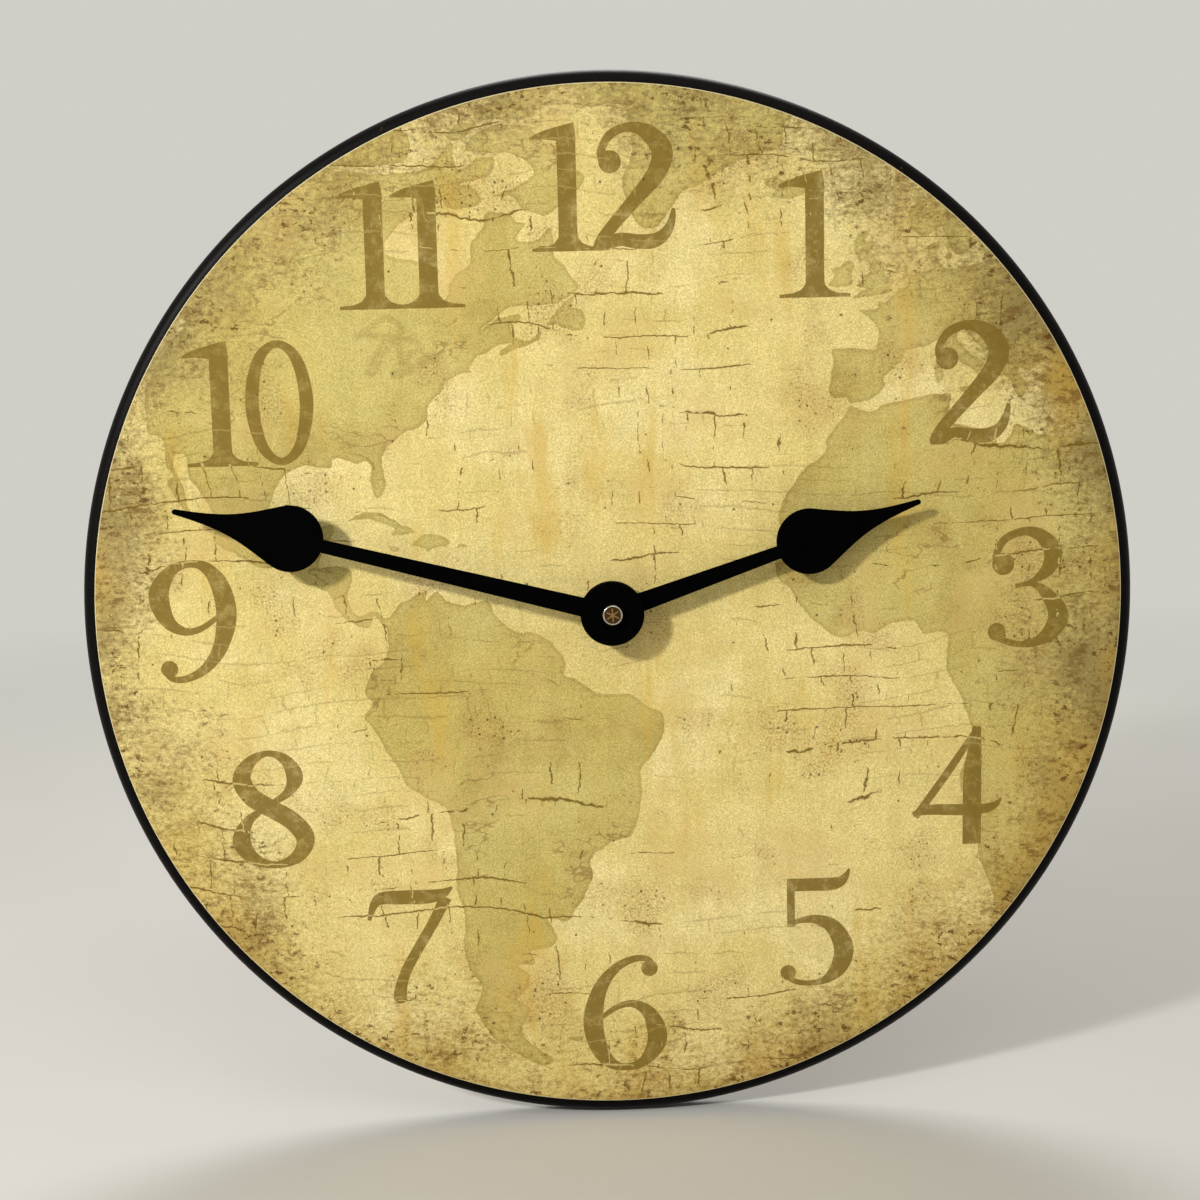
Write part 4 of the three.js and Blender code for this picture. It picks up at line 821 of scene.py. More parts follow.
def figure_shapes(figure):
    """The strokes and balls of one figure; a nine is a six turned half round."""
    if figure != "9":
        return FIGURES[figure]["strokes"], FIGURES[figure].get("balls", [])
    wide = NUMERAL_WIDTHS["6"]
    strokes, balls = figure_shapes("6")
    turned = [[(wide - x, 1 - y, w) for x, y, w in stroke] for stroke in strokes]
    return turned, [(wide - x, 1 - y, r) for x, y, r in balls]


def stroke_quads(stroke):
    """The four-cornered cells along a smooth stroke whose width varies."""
    closed = bool((stroke[0] == stroke[-1]).all())
    line = smooth(stroke[:-1] if closed else stroke, STROKE_SPACING, closed)
    if closed:
        line = np.vstack([line[-1:], line, line[:2]])
    along = np.gradient(line[:, :2], axis=0)
    along /= np.linalg.norm(along, axis=1, keepdims=True)
    across = np.stack([-along[:, 1], along[:, 0]], 1) * line[:, 2:] / 2
    left = line[:, :2] + across
    right = line[:, :2] - across
    quads = [np.array(quad) for quad in zip(left, left[1:], right[1:], right)]
    return quads[1:-1] if closed else quads


def numeral_cells():
    """Every inked cell of the twelve numerals, as small polygons on the dial."""
    cells = []
    for text, (middle, height) in NUMERAL_PLACES.items():
        for index, figure in enumerate(text):
            start = index * SECOND_FIGURE_STEP.get(text, 0) - NUMERAL_WIDTHS[text] / 2
            corner = np.array((middle + start * NUMERAL_HEIGHT, height - NUMERAL_HEIGHT / 2, 0))
            strokes, balls = figure_shapes(figure)
            for stroke in strokes:
                cells += stroke_quads(np.array(stroke) * NUMERAL_HEIGHT + corner)
            for x, y, radius in balls:
                centre = np.array((x, y)) * NUMERAL_HEIGHT + corner[:2]
                cells.append(np.array(ring(radius * NUMERAL_HEIGHT, BALL_POINTS)) + centre)
    return cells


# The printed sheet: one triangle mesh whose edges follow the coasts and the numerals.

RIM_POINTS = 288
HOLE_POINTS = 32
FILL_SPACING = 4.5
FILL_MARGIN = 2
BAKE_MAP = "OFBake"
BAKE_FRONT_RADIUS = 0.495
BAKE_BACK_PLACE = (0.07, 0.07)
BAKE_BACK_RADIUS = 0.065
BAKE_WALL_PLACE = (0.93, 0.07)
BAKE_WALL_RADII = (0.065, 0.055, 0.045, 0.035, 0.025)


def inside(polygon, points):
    """Which of the points lie in a polygon, by the even-odd rule."""
    x, y = points[:, 0], points[:, 1]
    found = np.zeros(len(points), bool)
    for (x0, y0), (x1, y1) in zip(polygon, np.roll(polygon, -1, axis=0)):
        if y0 == y1:
            continue
        crosses = ((y0 > y) != (y1 > y)) & (x < x0 + (y - y0) * (x1 - x0) / (y1 - y0))
        found ^= crosses
    return found


def mark_inside(polygons, points):
    """Which of the points lie in any of many polygons, looking only near each one."""
    found = np.zeros(len(points), bool)
    for polygon in polygons:
        low, high = polygon.min(0), polygon.max(0)
        near = np.flatnonzero(((points >= low) & (points <= high)).all(1))
        if len(near):
            found[near] |= inside(polygon, points[near])
    return found


def off_edges(points):
    """Those of the points that keep off the sheet's rim and its centre hole."""
    reach = np.linalg.norm(points, axis=1)
    return points[(reach < PRINT_RADIUS - FILL_MARGIN) & (reach > CENTRE_HOLE_RADIUS + FILL_MARGIN)]


def fill_grid():
    """Points in staggered rows that keep the sheet's triangles small."""
    count = int(PRINT_RADIUS / FILL_SPACING) + 1
    steps = range(-count, count + 1)
    grid = [(column + 0.5 * (row % 2), row) for row in steps for column in steps]
    return off_edges(np.array(grid) * FILL_SPACING)


def shore_points(loop):
    """Points on both sides of a coast, so that the shading along it has something to hold on to."""
    along = np.roll(loop, -1, axis=0) - np.roll(loop, 1, axis=0)
    along /= np.maximum(np.linalg.norm(along, axis=1, keepdims=True), 1e-6)
    across = np.stack([-along[:, 1], along[:, 0]], 1) * SHORE_OFFSET
    return off_edges(np.vstack([loop + across, loop - across]))


def disc_faces(outlines, outer):
    """The triangles of the outlines that lie between the centre hole and the outer radius."""
    points, faces = outlines.triangles()
    middles = points[faces].mean(1)
    reach = np.linalg.norm(middles, axis=1)
    kept = (reach < outer) & (reach > CENTRE_HOLE_RADIUS * math.cos(math.pi / HOLE_POINTS))
    return points, faces[kept], middles[kept]


def border_loops(faces):
    """The closed chains of point numbers along the edges that only one face has, the longest first."""
    sides = {(a, b) for face in faces for a, b in zip(face, face[1:] + face[:1])}
    following = {a: b for a, b in sorted(sides) if (b, a) not in sides}
    loops = []
    while following:
        loop = [min(following)]
        while loop[-1] in following:
            loop.append(following.pop(loop[-1]))
        loops.append(np.array(loop[:-1]))
    return sorted(loops, key=len, reverse=True)


def edge_quads(first, second):
    """Faces between two rings of point numbers that run the same way round."""
    return list(zip(first, second, np.roll(second, -1), np.roll(first, -1)))


def set_attribute(made, name, domain, values):
    """Writes one number for each face or point of a piece, for its material to read."""
    layer = made.data.attributes.new(name, "FLOAT", domain)
    layer.data.foreach_set("value", np.asarray(values, np.float32))


def shore_distances(points, shore):
    """How far each point lies from the nearest point of the shore, in mm."""
    tree = KDTree(len(shore))
    for index, point in enumerate(shore):
        tree.insert((*point, 0), index)
    tree.balance()
    return [tree.find((*point, 0))[2] for point in points]


def lay_bake_map(mesh, spread, edges, faces, walls, rear_faces):
    """The map for baking: the front fills it, the back and the cut edges lie in two of its corners."""
    away = np.linalg.norm(spread, axis=1, keepdims=True)
    for numbers, radius in zip(edges, BAKE_WALL_RADII):
        away[numbers] /= radius
    on_front = 0.5 + spread * BAKE_FRONT_RADIUS / PRINT_RADIUS
    on_back = BAKE_BACK_PLACE + spread * BAKE_BACK_RADIUS / PRINT_RADIUS
    on_walls = BAKE_WALL_PLACE + spread / np.maximum(away, 1)
    corners = [on_front[list(face)] for face in faces]
    corners += [on_walls[list(face)] for face in walls]
    corners += [on_back[list(face)] for face in rear_faces]
    layer = mesh.uv_layers.new(name=BAKE_MAP)
    layer.data.foreach_set("uv", np.concatenate(corners).astype(np.float32).ravel())


def draw_front(shores, ink, outer):
    """The outlines of the printed front, with points between them."""
    front = Outlines()
    front.add(ring(outer, RIM_POINTS))
    front.add(ring(CENTRE_HOLE_RADIUS, HOLE_POINTS))
    for loop in shores:
        front.add(loop)
        front.scatter(shore_points(loop))
    for cell in ink:
        front.add(cell)
    front.scatter(fill_grid())
    return front


def make_dial_print():
    land = [coast_loop(NEW_WORLD), coast_loop(OLD_WORLD)]
    land += [coast_loop(island) for island in ISLANDS.values()]
    lakes = [coast_loop(lake) for lake in LAKES.values()]
    ink = numeral_cells()
    outer = PRINT_RADIUS - PRINT_BEVEL
    flat, faces, middles = disc_faces(draw_front(land + lakes, ink, outer), outer)
    used, faces = np.unique(faces, return_inverse=True)
    flat = flat[used]
    faces = [tuple(face) for face in faces.reshape(-1, 3).tolist()]
    rim, hole = border_loops(faces)

    # The cut edge and the plain back, which share the front's rim and hole points.
    count = len(flat)
    wide = flat[rim] * (PRINT_RADIUS / np.linalg.norm(flat[rim], axis=1, keepdims=True))
    shoulder = count + np.arange(len(rim))
    rear_rim = shoulder + len(rim)
    rear_hole = rear_rim[-1] + 1 + np.arange(len(hole))
    back = Outlines()
    back.add(wide)
    back.add(flat[hole])
    _, rear, _ = disc_faces(back, PRINT_RADIUS)
    rear_faces = [tuple(rear_rim[0] + face[::-1]) for face in rear]
    walls = edge_quads(rim, shoulder) + edge_quads(shoulder, rear_rim) + edge_quads(hole, rear_hole)

    points = [spot(x, PRINT_FRONT, y) for x, y in flat]
    points += [spot(x, PRINT_FRONT - PRINT_BEVEL_DEPTH, y) for x, y in wide]
    points += [spot(x, PRINT_BACK, y) for x, y in np.vstack([wide, flat[hole]])]
    shape = (points, faces + walls + rear_faces)
    made = piece("dial_print", shape, "clock", "printed_paper", "dial_sheet")

    on_land = mark_inside(land, middles)
    in_ink = mark_inside(ink, middles)
    spare = len(walls) + len(rear_faces)
    set_attribute(made, "land", "FACE", np.concatenate([on_land, np.zeros(spare)]))
    set_attribute(made, "ink", "FACE", np.concatenate([in_ink, np.zeros(spare)]))
    set_attribute(made, "cut", "FACE", np.concatenate([np.zeros(len(faces)), np.ones(spare)]))
    away = shore_distances(flat, np.vstack(land + lakes))
    set_attribute(made, "coast", "POINT", np.concatenate([away, np.zeros(len(points) - count)]))
    spread = np.vstack([flat, wide, wide, flat[hole]])
    edges = (rim, shoulder, rear_rim, rear_hole, hole)
    lay_bake_map(made.data, spread, edges, faces, walls, rear_faces)


# The board: a disc with a rounded front edge and a small chamfer behind.

BOARD_SEGMENTS = 288
EDGE_STEPS = 10


def make_board():
    rounded = [
        (PRINT_RADIUS + x, BOARD_FRONT - EDGE_ROUND + y) for x, y in arc(EDGE_ROUND, 90, 0, EDGE_STEPS)
    ]
    profile = [
        (CENTRE_HOLE_RADIUS, BOARD_FRONT),
        *rounded,
        (BOARD_RADIUS, BOARD_BACK + BACK_CHAMFER),
        (BOARD_RADIUS - BACK_CHAMFER, BOARD_BACK),
        (CENTRE_HOLE_RADIUS, BOARD_BACK),
    ]
    piece("board", lathe(profile, BOARD_SEGMENTS), "clock", "painted_board", "backboard")


# The hands: flat spade shapes cut from sheet, with softened edges.

HAND_EDGE = 0.16
CURVE_STEPS = 24
BULB_STEPS = 40
HUB_STEPS = 32
TIP_STEPS = 8
BORE_STEPS = 40


def bezier(start, first, second, end, steps):
    """Points on a cubic curve, without its last one."""
    curve = []
    for t in np.arange(steps) / steps:
        weights = ((1 - t) ** 3, 3 * t * (1 - t) ** 2, 3 * t * t * (1 - t), t ** 3)
        corners = (start, first, second, end)
        curve.append(tuple(sum(w * c[i] for w, c in zip(weights, corners)) for i in (0, 1)))
    return curve


def hand_outline(reach):
    """A spade hand that points up: its right half, from hub to tip, and the mirror image of that."""
    bulb = reach - BLADE_LENGTH
    tip = reach - TIP_RADIUS
    shoulder = math.radians(SHOULDER_DEGREES)
    side = BULB_RADIUS * math.sin(shoulder)
    height = bulb + BULB_RADIUS * math.cos(shoulder)
    flank = (side - FLANK_PULL * math.cos(shoulder), height + FLANK_PULL * math.sin(shoulder))
    at_bulb = math.degrees(math.asin(ARM_WIDTH_AT_BULB / 2 / BULB_RADIUS))
    at_hub = math.degrees(math.asin(ARM_WIDTH_AT_HUB / 2 / HAND_HUB_RADIUS))
    neck = (NECK_RADIUS, tip - NECK_LENGTH)
    right = arc(HAND_HUB_RADIUS, -90, 90 - at_hub, HUB_STEPS)
    right += [(x, y + bulb) for x, y in arc(BULB_RADIUS, at_bulb - 90, 90 - SHOULDER_DEGREES, BULB_STEPS)]
    right += bezier((side, height), flank, neck, (TIP_RADIUS, tip), CURVE_STEPS)[1:]
    right += [(x, y + tip) for x, y in arc(TIP_RADIUS, 0, 90, TIP_STEPS)]
    left = [(-x, y) for x, y in right[-2:0:-1]]
    return right + left


def make_hand(name, reach, degrees, depth, bore, body):
    turn = Matrix.Rotation(math.radians(-degrees), 2)
    rim = np.array([turn @ Vector(point) for point in hand_outline(reach)])
    hole = np.array(ring(bore, BORE_STEPS))

    def depths_of(middles):
        solid = inside(rim, middles) & ~inside(hole, middles)
        return np.full(len(middles), depth), depth + HAND_THICKNESS * solid

    made = piece(name + "_blade", relief([rim, hole], depths_of), body, "hand_paint", name)
    soften(made, HAND_EDGE, SOFT_STEPS)


# The nut at the centre: a bright ring with a brass face that carries six fine rays.

NUT_RADIUS = 2.85
NUT_BACK = 37.65
NUT_FRONT = 40.25
NUT_CUP_RADIUS = 2.4
NUT_CUP_FLOOR = 39.25
NUT_EDGE = 0.36
NUT_EDGE_STEPS = 5
INSERT_RADIUS = 2.3
INSERT_BACK = 39.3
INSERT_FRONT = 40
RAY_WIDTH = 0.36
RAY_FRONT = 40.25
RAY_COUNT = 6
RAY_TURN = math.radians(34)
RAY_START = 0.5
RAY_END = 1.94
RAY_HUB_RADIUS = 0.6
RAY_HUB_POINTS = 32
STAR_EDGE = 0.06
STAR_SHADE_MARGIN = 0.05
RING_EDGE_STEPS = 4
TURNED_SEGMENTS = 64


def rounded_ring(bore, radius, back, front, edge):
    """The outline of a plain ring whose outer corners are rounded."""
    near = [(radius - edge + x, front - edge + y) for x, y in arc(edge, 90, 0, RING_EDGE_STEPS)]
    far = [(radius - edge + x, back + edge + y) for x, y in arc(edge, 0, -90, RING_EDGE_STEPS)]
    return [(bore, front), *near, *far, (bore, back)]


def make_star_finish():
    """Brass that has gone dark between its rays."""
    finish = Finish("tarnished_brass", {"Metallic": 0.85, "Specular IOR Level": 0.3})
    raised = finish.ramp(finish.depth(), INSERT_FRONT + STAR_SHADE_MARGIN, RAY_FRONT - STAR_SHADE_MARGIN)
    scratches = finish.clouds(0.25, 4, 0.7, seed=17)
    dark = finish.mix(scratches, paint(58, 38, 12), paint(84, 57, 22))
    bright = finish.mix(scratches, paint(134, 103, 63), paint(162, 131, 88))
    finish.colour(finish.mix(raised, dark, bright))
    finish.roughness(finish.ramp(raised, 0, 1, 0.6, 0.34))
    finish.bump(scratches, 0.006)
    return finish.material


def make_centre_nut():
    corner = arc(NUT_EDGE, 90, 0, NUT_EDGE_STEPS)
    crown = [(NUT_RADIUS - NUT_EDGE + x, NUT_FRONT - NUT_EDGE + y) for x, y in corner]
    profile = [
        (MINUTE_BORE_RADIUS, NUT_CUP_FLOOR),
        (NUT_CUP_RADIUS, NUT_CUP_FLOOR),
        (NUT_CUP_RADIUS, NUT_FRONT - NUT_EDGE / 4),
        *crown,
        (NUT_RADIUS, NUT_BACK + NUT_EDGE),
        (NUT_RADIUS - NUT_EDGE, NUT_BACK),
        (MINUTE_BORE_RADIUS, NUT_BACK),
    ]
    piece("centre_nut", lathe(profile, TURNED_SEGMENTS), "minute", "nickel", "hand_nut")

    rim = np.array(ring(INSERT_RADIUS, TURNED_SEGMENTS))
    rays = []
    for index in range(RAY_COUNT):
        turn = Matrix.Rotation(RAY_TURN + math.tau * index / RAY_COUNT, 2)
        side = RAY_WIDTH / 2
        corners = [(RAY_START, -side), (RAY_END, -side), (RAY_END, side), (RAY_START, side)]
        rays.append(np.array([turn @ Vector(corner) for corner in corners]))
    hub = np.array(ring(RAY_HUB_RADIUS, RAY_HUB_POINTS))

    def depths_of(middles):
        raised = mark_inside([hub, *rays], middles)
        return np.full(len(middles), INSERT_BACK), np.where(raised, RAY_FRONT, INSERT_FRONT)

    star = relief([rim, hub, *rays], depths_of)
    made = piece("nut_star", star, "minute", "brass", "nut_insert", make_star_finish())
    soften(made, STAR_EDGE, FINE_STEPS)


# Turned pieces of the dial fixing, with rounded rims and a threaded bushing.

BUSHING_BORE = 2.63
BUSHING_RADIUS = 4
BUSHING_BACK = 14.1
BUSHING_FRONT = 31.95
FLANGE_RADIUS = 5.6
FLANGE_FRONT = 15.1
THREAD_START = 17.8
THREAD_PITCH = 0.75
THREAD_DEPTH = 0.28
TURNED_RINGS = {
    "dial_washer": ("clock", "brass", 4.1, 7.2, 28.7, 29.3, 0.2),
    "gasket": ("clock", "rubber", 4.1, 10, 17.75, 18.75, 0.35),
    "hour_collet": ("hour", "brass", 2.65, 3.7, 32.35, 33.75, 0.25),
}


def make_dial_fixing():
    for node, (body, slot, bore, radius, back, front, edge) in TURNED_RINGS.items():
        shape = lathe(rounded_ring(bore, radius, back, front, edge), TURNED_SEGMENTS)
        piece(node + "_ring", shape, body, slot, node)
    thread = []
    turns = int((BUSHING_FRONT - THREAD_START) / THREAD_PITCH)
    for turn in range(turns):
        crest = BUSHING_FRONT - THREAD_DEPTH - turn * THREAD_PITCH
        thread.append((BUSHING_RADIUS, crest))
        thread.append((BUSHING_RADIUS - THREAD_DEPTH, crest - THREAD_PITCH / 2))
    profile = [
        (BUSHING_BORE, BUSHING_FRONT),
        (BUSHING_RADIUS - THREAD_DEPTH, BUSHING_FRONT),
        *thread,
        (BUSHING_RADIUS, FLANGE_FRONT),
        (FLANGE_RADIUS, FLANGE_FRONT),
        (FLANGE_RADIUS, BUSHING_BACK),
        (BUSHING_BORE, BUSHING_BACK),
    ]
    piece("bushing", lathe(profile, TURNED_SEGMENTS), "clock", "brass", "threaded_bushing")


# The rear cover: a moulded plate with a label recess, a setting arrow and bearing bosses inside.

COVER_SIDE = 27.3
COVER_BOTTOM = -10.9
COVER_CORNER = 1
COVER_FRONT = 1.6
COVER_EDGE = 0.12
CORNER_STEPS = 5
KNOB_HOLE_RADIUS = 6.4
BOSS_RADIUS = 1.6
BOSS_POINTS = 32
BOSS_FRONT = 2.8
SOCKET_RADIUS = 0.58
SOCKET_POINTS = 16
LABEL_BOX = (-6, -7.5, 24.5, 24)
LABEL_CORNER = 2
LABEL_DEPTH = 0.35
ARROW_RADIUS = 8.8
ARROW_WIDTH = 1
ARROW_HEAD = 1.3
ARROW_DEGREES = 46
ARROW_TIP_DEGREES = 62
ARROW_STEPS = 14


def rounded_box(left, bottom, right, top, radius):
    """The outline of a rectangle with rounded corners."""
    centres = [(right - radius, top - radius), (left + radius, top - radius),
               (left + radius, bottom + radius), (right - radius, bottom + radius)]
    loop = []
    for quarter, (x, y) in enumerate(centres):
        turned = arc(radius, 90 * quarter, 90 * quarter + 90, CORNER_STEPS)
        loop += [(x + a, y + b) for a, b in turned]
    return np.array(loop)


def arrow_outline():
    """A bent arrow with a head at each end, about the origin."""
    loop = []
    for side in (1, -1):
        end = side * ARROW_DEGREES
        loop += arc(ARROW_RADIUS + side * ARROW_WIDTH / 2, -end, end, ARROW_STEPS)
        for offset, degrees in [(ARROW_HEAD, end), (0, side * ARROW_TIP_DEGREES), (-ARROW_HEAD, end)]:
            loop += arc(ARROW_RADIUS + side * offset, degrees, degrees, 0)
    return np.array(loop)


def make_cover():
    joints = frame["record"]["behaviour"]["joints"]
    axes = {joint["name"]: np.array(joint["pos_m"])[[0, 2]] / MM for joint in joints if "pos_m" in joint}
    pivots = [axes[name] for name in ("centre_turn", "third_turn", "fifth_turn", "rotor_turn")]
    plate = rounded_box(-COVER_SIDE, COVER_BOTTOM, COVER_SIDE, COVER_SIDE, COVER_CORNER)
    knob_hole = np.array(ring(KNOB_HOLE_RADIUS, TURNED_SEGMENTS)) + axes["knob_turn"]
    sunk = [rounded_box(*LABEL_BOX, LABEL_CORNER), arrow_outline() + axes["knob_turn"]]
    bosses = [np.array(ring(BOSS_RADIUS, BOSS_POINTS)) + pivot for pivot in pivots]
    sockets = [np.array(ring(SOCKET_RADIUS, SOCKET_POINTS)) + pivot for pivot in pivots]

    def depths_of(middles):
        solid = inside(plate, middles) & ~inside(knob_hole, middles)
        raised = mark_inside(bosses, middles) & ~mark_inside(sockets, middles)
        back = LABEL_DEPTH * mark_inside(sunk, middles)
        return back, np.where(solid, np.where(raised, BOSS_FRONT, COVER_FRONT), back)

    cover = relief([plate, knob_hole, *sunk, *bosses, *sockets], depths_of)
    made = piece("moulded_cover", cover, "clock", "case_plastic", "rear_cover")
    soften(made, COVER_EDGE, FINE_STEPS)


# The cell: a drawn can in a plain sleeve, lying across the movement's lower bay.

CELL_RADIUS = 7.1
CELL_LEFT = -25.25
CELL_SHOULDER = 23.95
CELL_RIGHT = 25.25
CELL_NUB_RADIUS = 2.75
CELL_DEPTH = 7.7
CELL_HEIGHT = -19.1
CELL_EDGE = 0.7
CELL_EDGE_STEPS = 5
CELL_BAND = 14
BAND_BLUR = 0.05
LIP_BLUR = 0.2
BARE_ENDS = (CELL_SHOULDER - 0.5, CELL_SHOULDER - 0.4)
CELL_NUB_EDGE = 0.4
CELL_NUB_EDGE_STEPS = 4
CELL_NUB_FOOT = 0.5
CELL_NUB_SINK = 0.2
SLEEVE_LIP = 0.5
SLEEVE_EDGE = 0.15
LEFT_END_SLOPE = 0.6
RIGHT_END_SLOPE = 1.2


def make_cell_finish():
    """A slate sleeve with a pale band, and bare steel at both ends."""
    finish = Finish("cell_sleeve", {"Specular IOR Level": 0.45})
    along = finish.along("X")
    from_axis = finish.scaled(finish.moved(finish.place, (0, CELL_DEPTH, -CELL_HEIGHT)), (0, 1, 1))
    radius = finish.length(from_axis)
    scuffs = finish.clouds(0.6, 4, 0.7, stretch=(4, 1, 1), seed=23)
    sleeve = finish.mix(scuffs, paint(40, 54, 72), paint(58, 74, 94))
    band = finish.mix(scuffs, paint(176, 172, 160), paint(206, 202, 190))
    sleeve = finish.mix(finish.ramp(along, CELL_BAND - BAND_BLUR, CELL_BAND + BAND_BLUR), sleeve, band)
    lip = CELL_RADIUS - SLEEVE_LIP
    past_end = finish.ramp(finish.math("ABSOLUTE", along), *BARE_ENDS)
    bare_end = finish.times(finish.ramp(radius, lip, lip - LIP_BLUR), past_end)
    metal = finish.mix(scuffs, paint(168, 168, 166), paint(204, 204, 200))
    finish.colour(finish.mix(bare_end, sleeve, metal))
    finish.feed(finish.shader.inputs["Metallic"], bare_end)
    finish.roughness(finish.ramp(scuffs, 0.3, 0.7, 0.28, 0.42))
    finish.bump(scuffs, 0.008)
    return finish.material


def rounded_end(radius, end, edge, steps):
    """The rounded corner of a turned piece, from its wall to its end."""
    return [(radius - edge + y, end - edge + x) for x, y in arc(edge, 90, 0, steps)]


def make_cell():
    inner = CELL_RADIUS - SLEEVE_LIP
    profile = [
        (0, CELL_LEFT + SLEEVE_LIP),
        (inner - LEFT_END_SLOPE, CELL_LEFT + SLEEVE_LIP),
        (inner, CELL_LEFT),
        (CELL_RADIUS - SLEEVE_EDGE, CELL_LEFT),
        (CELL_RADIUS, CELL_LEFT + SLEEVE_EDGE),
        *rounded_end(CELL_RADIUS, CELL_SHOULDER, CELL_EDGE, CELL_EDGE_STEPS),
        (inner - RIGHT_END_SLOPE, CELL_SHOULDER),
        (CELL_NUB_RADIUS + CELL_NUB_FOOT, CELL_SHOULDER - CELL_NUB_SINK),
        (CELL_NUB_RADIUS, CELL_SHOULDER),
        *rounded_end(CELL_NUB_RADIUS, CELL_RIGHT, CELL_NUB_EDGE, CELL_NUB_EDGE_STEPS),
        (0, CELL_RIGHT),
    ]

    def placed(side, up, along):
        return spot(along, CELL_DEPTH + side, CELL_HEIGHT + up)

    shape = lathe(profile, TURNED_SEGMENTS, placed)
    piece("cell_can", shape, "cell", "cell", "battery", make_cell_finish())


# Carried-over solids: joined faces, softened edges and smooth round walls.

EDGE_SOFTENING = {
    "hanger_plate": 0.18,
    "hex_nut": 0.3,
    "set_knob": 0.15,
    "positive_contact": 0.08,
    "negative_contact": 0.08,
}


def make_smoothing():
    """A modifier group that shades faces smooth across edges flatter than the limit."""
    group = bpy.data.node_groups.new("smooth_walls", "GeometryNodeTree")
    for direction in ("INPUT", "OUTPUT"):
        group.interface.new_socket("Geometry", in_out=direction, socket_type="NodeSocketGeometry")
    graph = Graph(group, prefix="")
    start = graph.node("NodeGroupInput").outputs[0]
    angle = graph.node("GeometryNodeInputMeshEdgeAngle").outputs["Unsigned Angle"]
    flat = graph.node("ShaderNodeMath", angle, math.radians(SMOOTH_BELOW), operation="LESS_THAN").outputs[0]
    faces = graph.node("GeometryNodeSetShadeSmooth", start, domain="FACE").outputs[0]
    edges = graph.node("GeometryNodeSetShadeSmooth", faces, True, flat, domain="EDGE").outputs[0]
    graph.node("NodeGroupOutput", edges)
    return group


def dress_nodes():
    smoothing = make_smoothing()
    for entry in frame["record"]["subparts"]:
        node = frame["nodes"][entry["node"]]
        node.data.materials[0] = FINISHES[entry["material_slot"]]
        weld = node.modifiers.new("joined", "WELD")
        weld.merge_threshold = WELD_DISTANCE * MM
        if entry["node"] in EDGE_SOFTENING:
            soften(node, EDGE_SOFTENING[entry["node"]], SOFT_STEPS)
        node.modifiers.new("smooth_walls", "NODES").node_group = smoothing


# The stage: a pale floor that fades into a pale surrounding, and soft lamps.

FLOOR_HEIGHT = -153
FLOOR_HALF_WIDTH = 12000
FADE_START = 420
FADE_END = 1300
SURROUND = paint(208, 206, 199)
GLOW_COLOUR = (1, 0.985, 0.96, 1)
GLOW_STRENGTH = 0.3
LAMPS = {
    "key": {"where": (-760, 845, 525), "size": 110, "power": 12},
    "fill": {"where": (150, 800, 1000), "size": 900, "power": 3},
    "rear": {"where": (100, -800, 1130), "size": 700, "power": 12},
}


def seen_directly(graph):
    """1 for what the camera sees, also in mirrors and through glass, and 0 for light on things."""
    paths = graph.node("LightPath").outputs
    seen = paths["Is Camera Ray"]
    for name in ("Is Glossy Ray", "Is Transmission Ray"):
        seen = graph.node("Math", seen, paths[name], operation="MAXIMUM").outputs[0]
    return seen


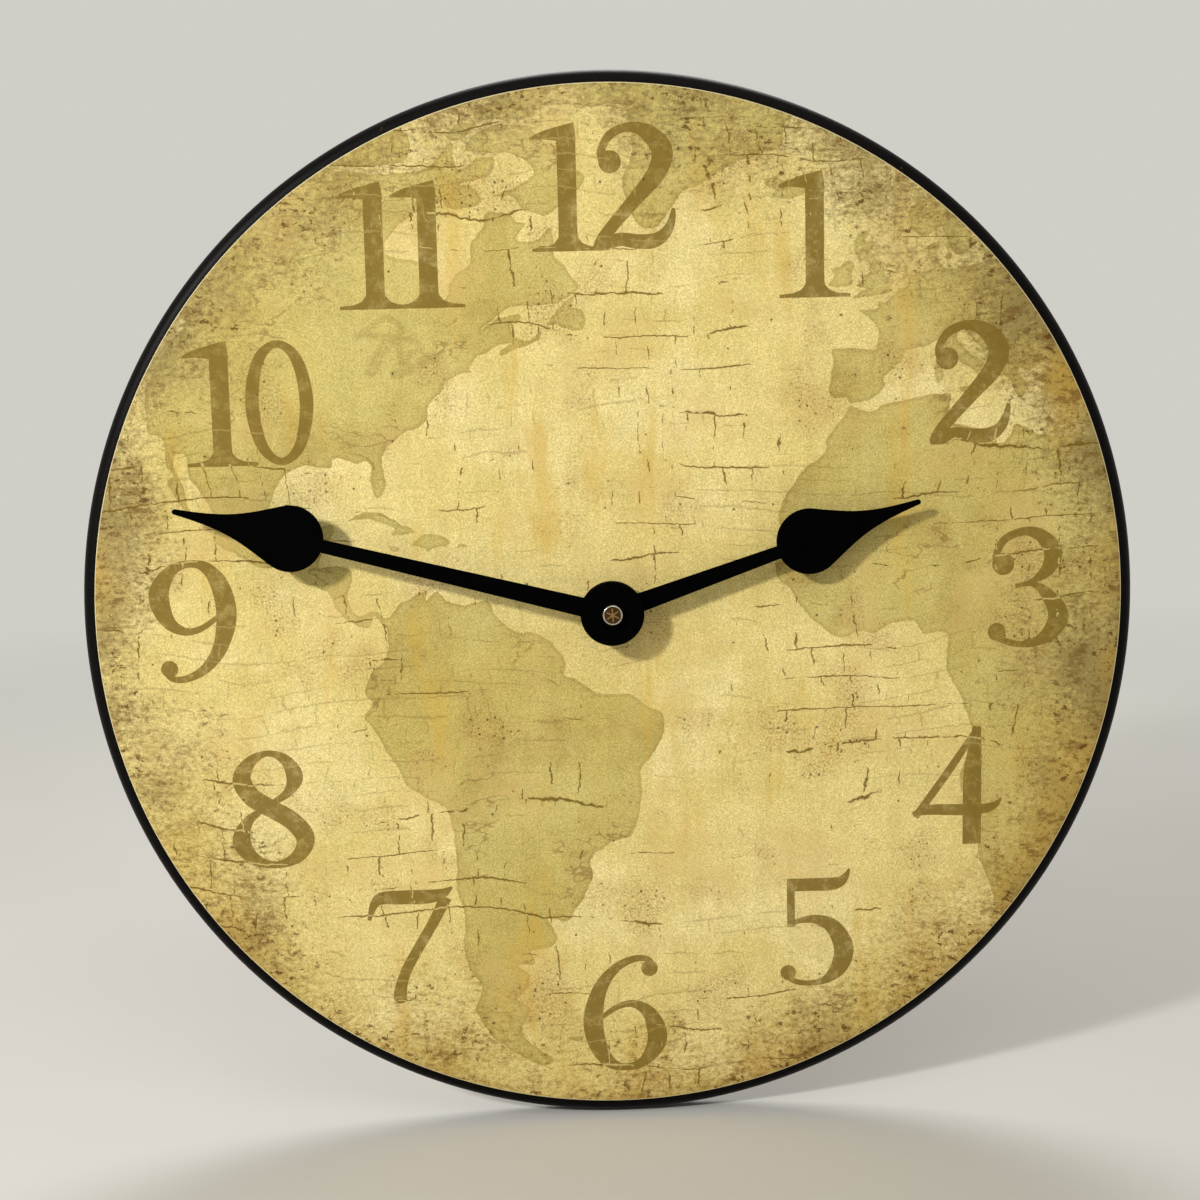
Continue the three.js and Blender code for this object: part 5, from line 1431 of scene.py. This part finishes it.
def make_floor():
    finish = Finish("floor", {"Roughness": 0.9, "Specular IOR Level": 0.1})
    cloud = finish.clouds(160, 3, 0.5)
    finish.colour(finish.mix(cloud, paint(196, 193, 185), paint(206, 203, 196)))
    reach = finish.length(finish.place)
    far = finish.times(finish.ramp(reach, FADE_START, FADE_END), seen_directly(finish))
    plain = finish.node("Emission", SURROUND).outputs[0]
    faded = finish.node("MixShader", far, finish.shader.outputs[0], plain).outputs[0]
    finish.feed(finish.tree.nodes["Material Output"].inputs["Surface"], faded)
    corners = [(-1, 1), (1, 1), (1, -1), (-1, -1)]
    points = [spot(x * FLOOR_HALF_WIDTH, y * FLOOR_HALF_WIDTH, FLOOR_HEIGHT) for x, y in corners]
    made = mesh_object("floor", points, [(0, 1, 2, 3)], finish.material)


def make_lamp(name, where, size, power):
    """A square soft lamp that faces the dial's centre."""
    data = bpy.data.lights.new(name, "AREA")
    data.size = size * MM
    data.energy = power
    lamp = linked(name, data)
    lamp.location = spot(*where)
    lamp.rotation_euler = (-lamp.location).to_track_quat("-Z", "Y").to_euler()


def make_light():
    world = bpy.data.worlds.new("studio")
    bpy.context.scene.world = world
    world.use_nodes = True
    graph = Graph(world.node_tree)
    glow = graph.tree.nodes["Background"]
    glow.inputs["Color"].default_value = GLOW_COLOUR
    glow.inputs["Strength"].default_value = GLOW_STRENGTH
    plain = graph.node("Background", SURROUND).outputs[0]
    chosen = graph.node("MixShader", seen_directly(graph), glow.outputs[0], plain).outputs[0]
    graph.feed(graph.tree.nodes["World Output"].inputs["Surface"], chosen)
    for name, lamp in LAMPS.items():
        make_lamp(name, **lamp)


# The camera stands where the photograph was taken from.

CAMERA_PLACE = (-13.88, 515.97, 64.25)
CAMERA_YAW = -1.25
CAMERA_PITCH = -7.156
CAMERA_ROLL = -1.394
CAMERA_LENS = 51


def make_camera():
    data = bpy.data.cameras.new("camera")
    data.lens = CAMERA_LENS
    camera = linked("camera", data)
    turn = Matrix.Rotation(math.radians(CAMERA_YAW), 4, "Z")
    tilt = Matrix.Rotation(math.radians(90 + CAMERA_PITCH), 4, "X")
    roll = Matrix.Rotation(math.radians(CAMERA_ROLL), 4, "Z")
    camera.matrix_world = Matrix.Translation(spot(*CAMERA_PLACE)) @ turn @ tilt @ roll
    bpy.context.scene.camera = camera


make_camera()
make_floor()
make_light()
make_dial_print()
make_board()
make_hand("hour_hand", HOUR_REACH, HOUR_DEGREES, HOUR_BACK, HOUR_BORE_RADIUS, "hour")
make_hand("minute_hand", MINUTE_REACH, MINUTE_DEGREES, MINUTE_BACK, MINUTE_BORE_RADIUS, "minute")
make_centre_nut()
make_dial_fixing()
make_cover()
make_cell()
dress_nodes()

bpy.context.scene.view_settings.view_transform = "Standard"
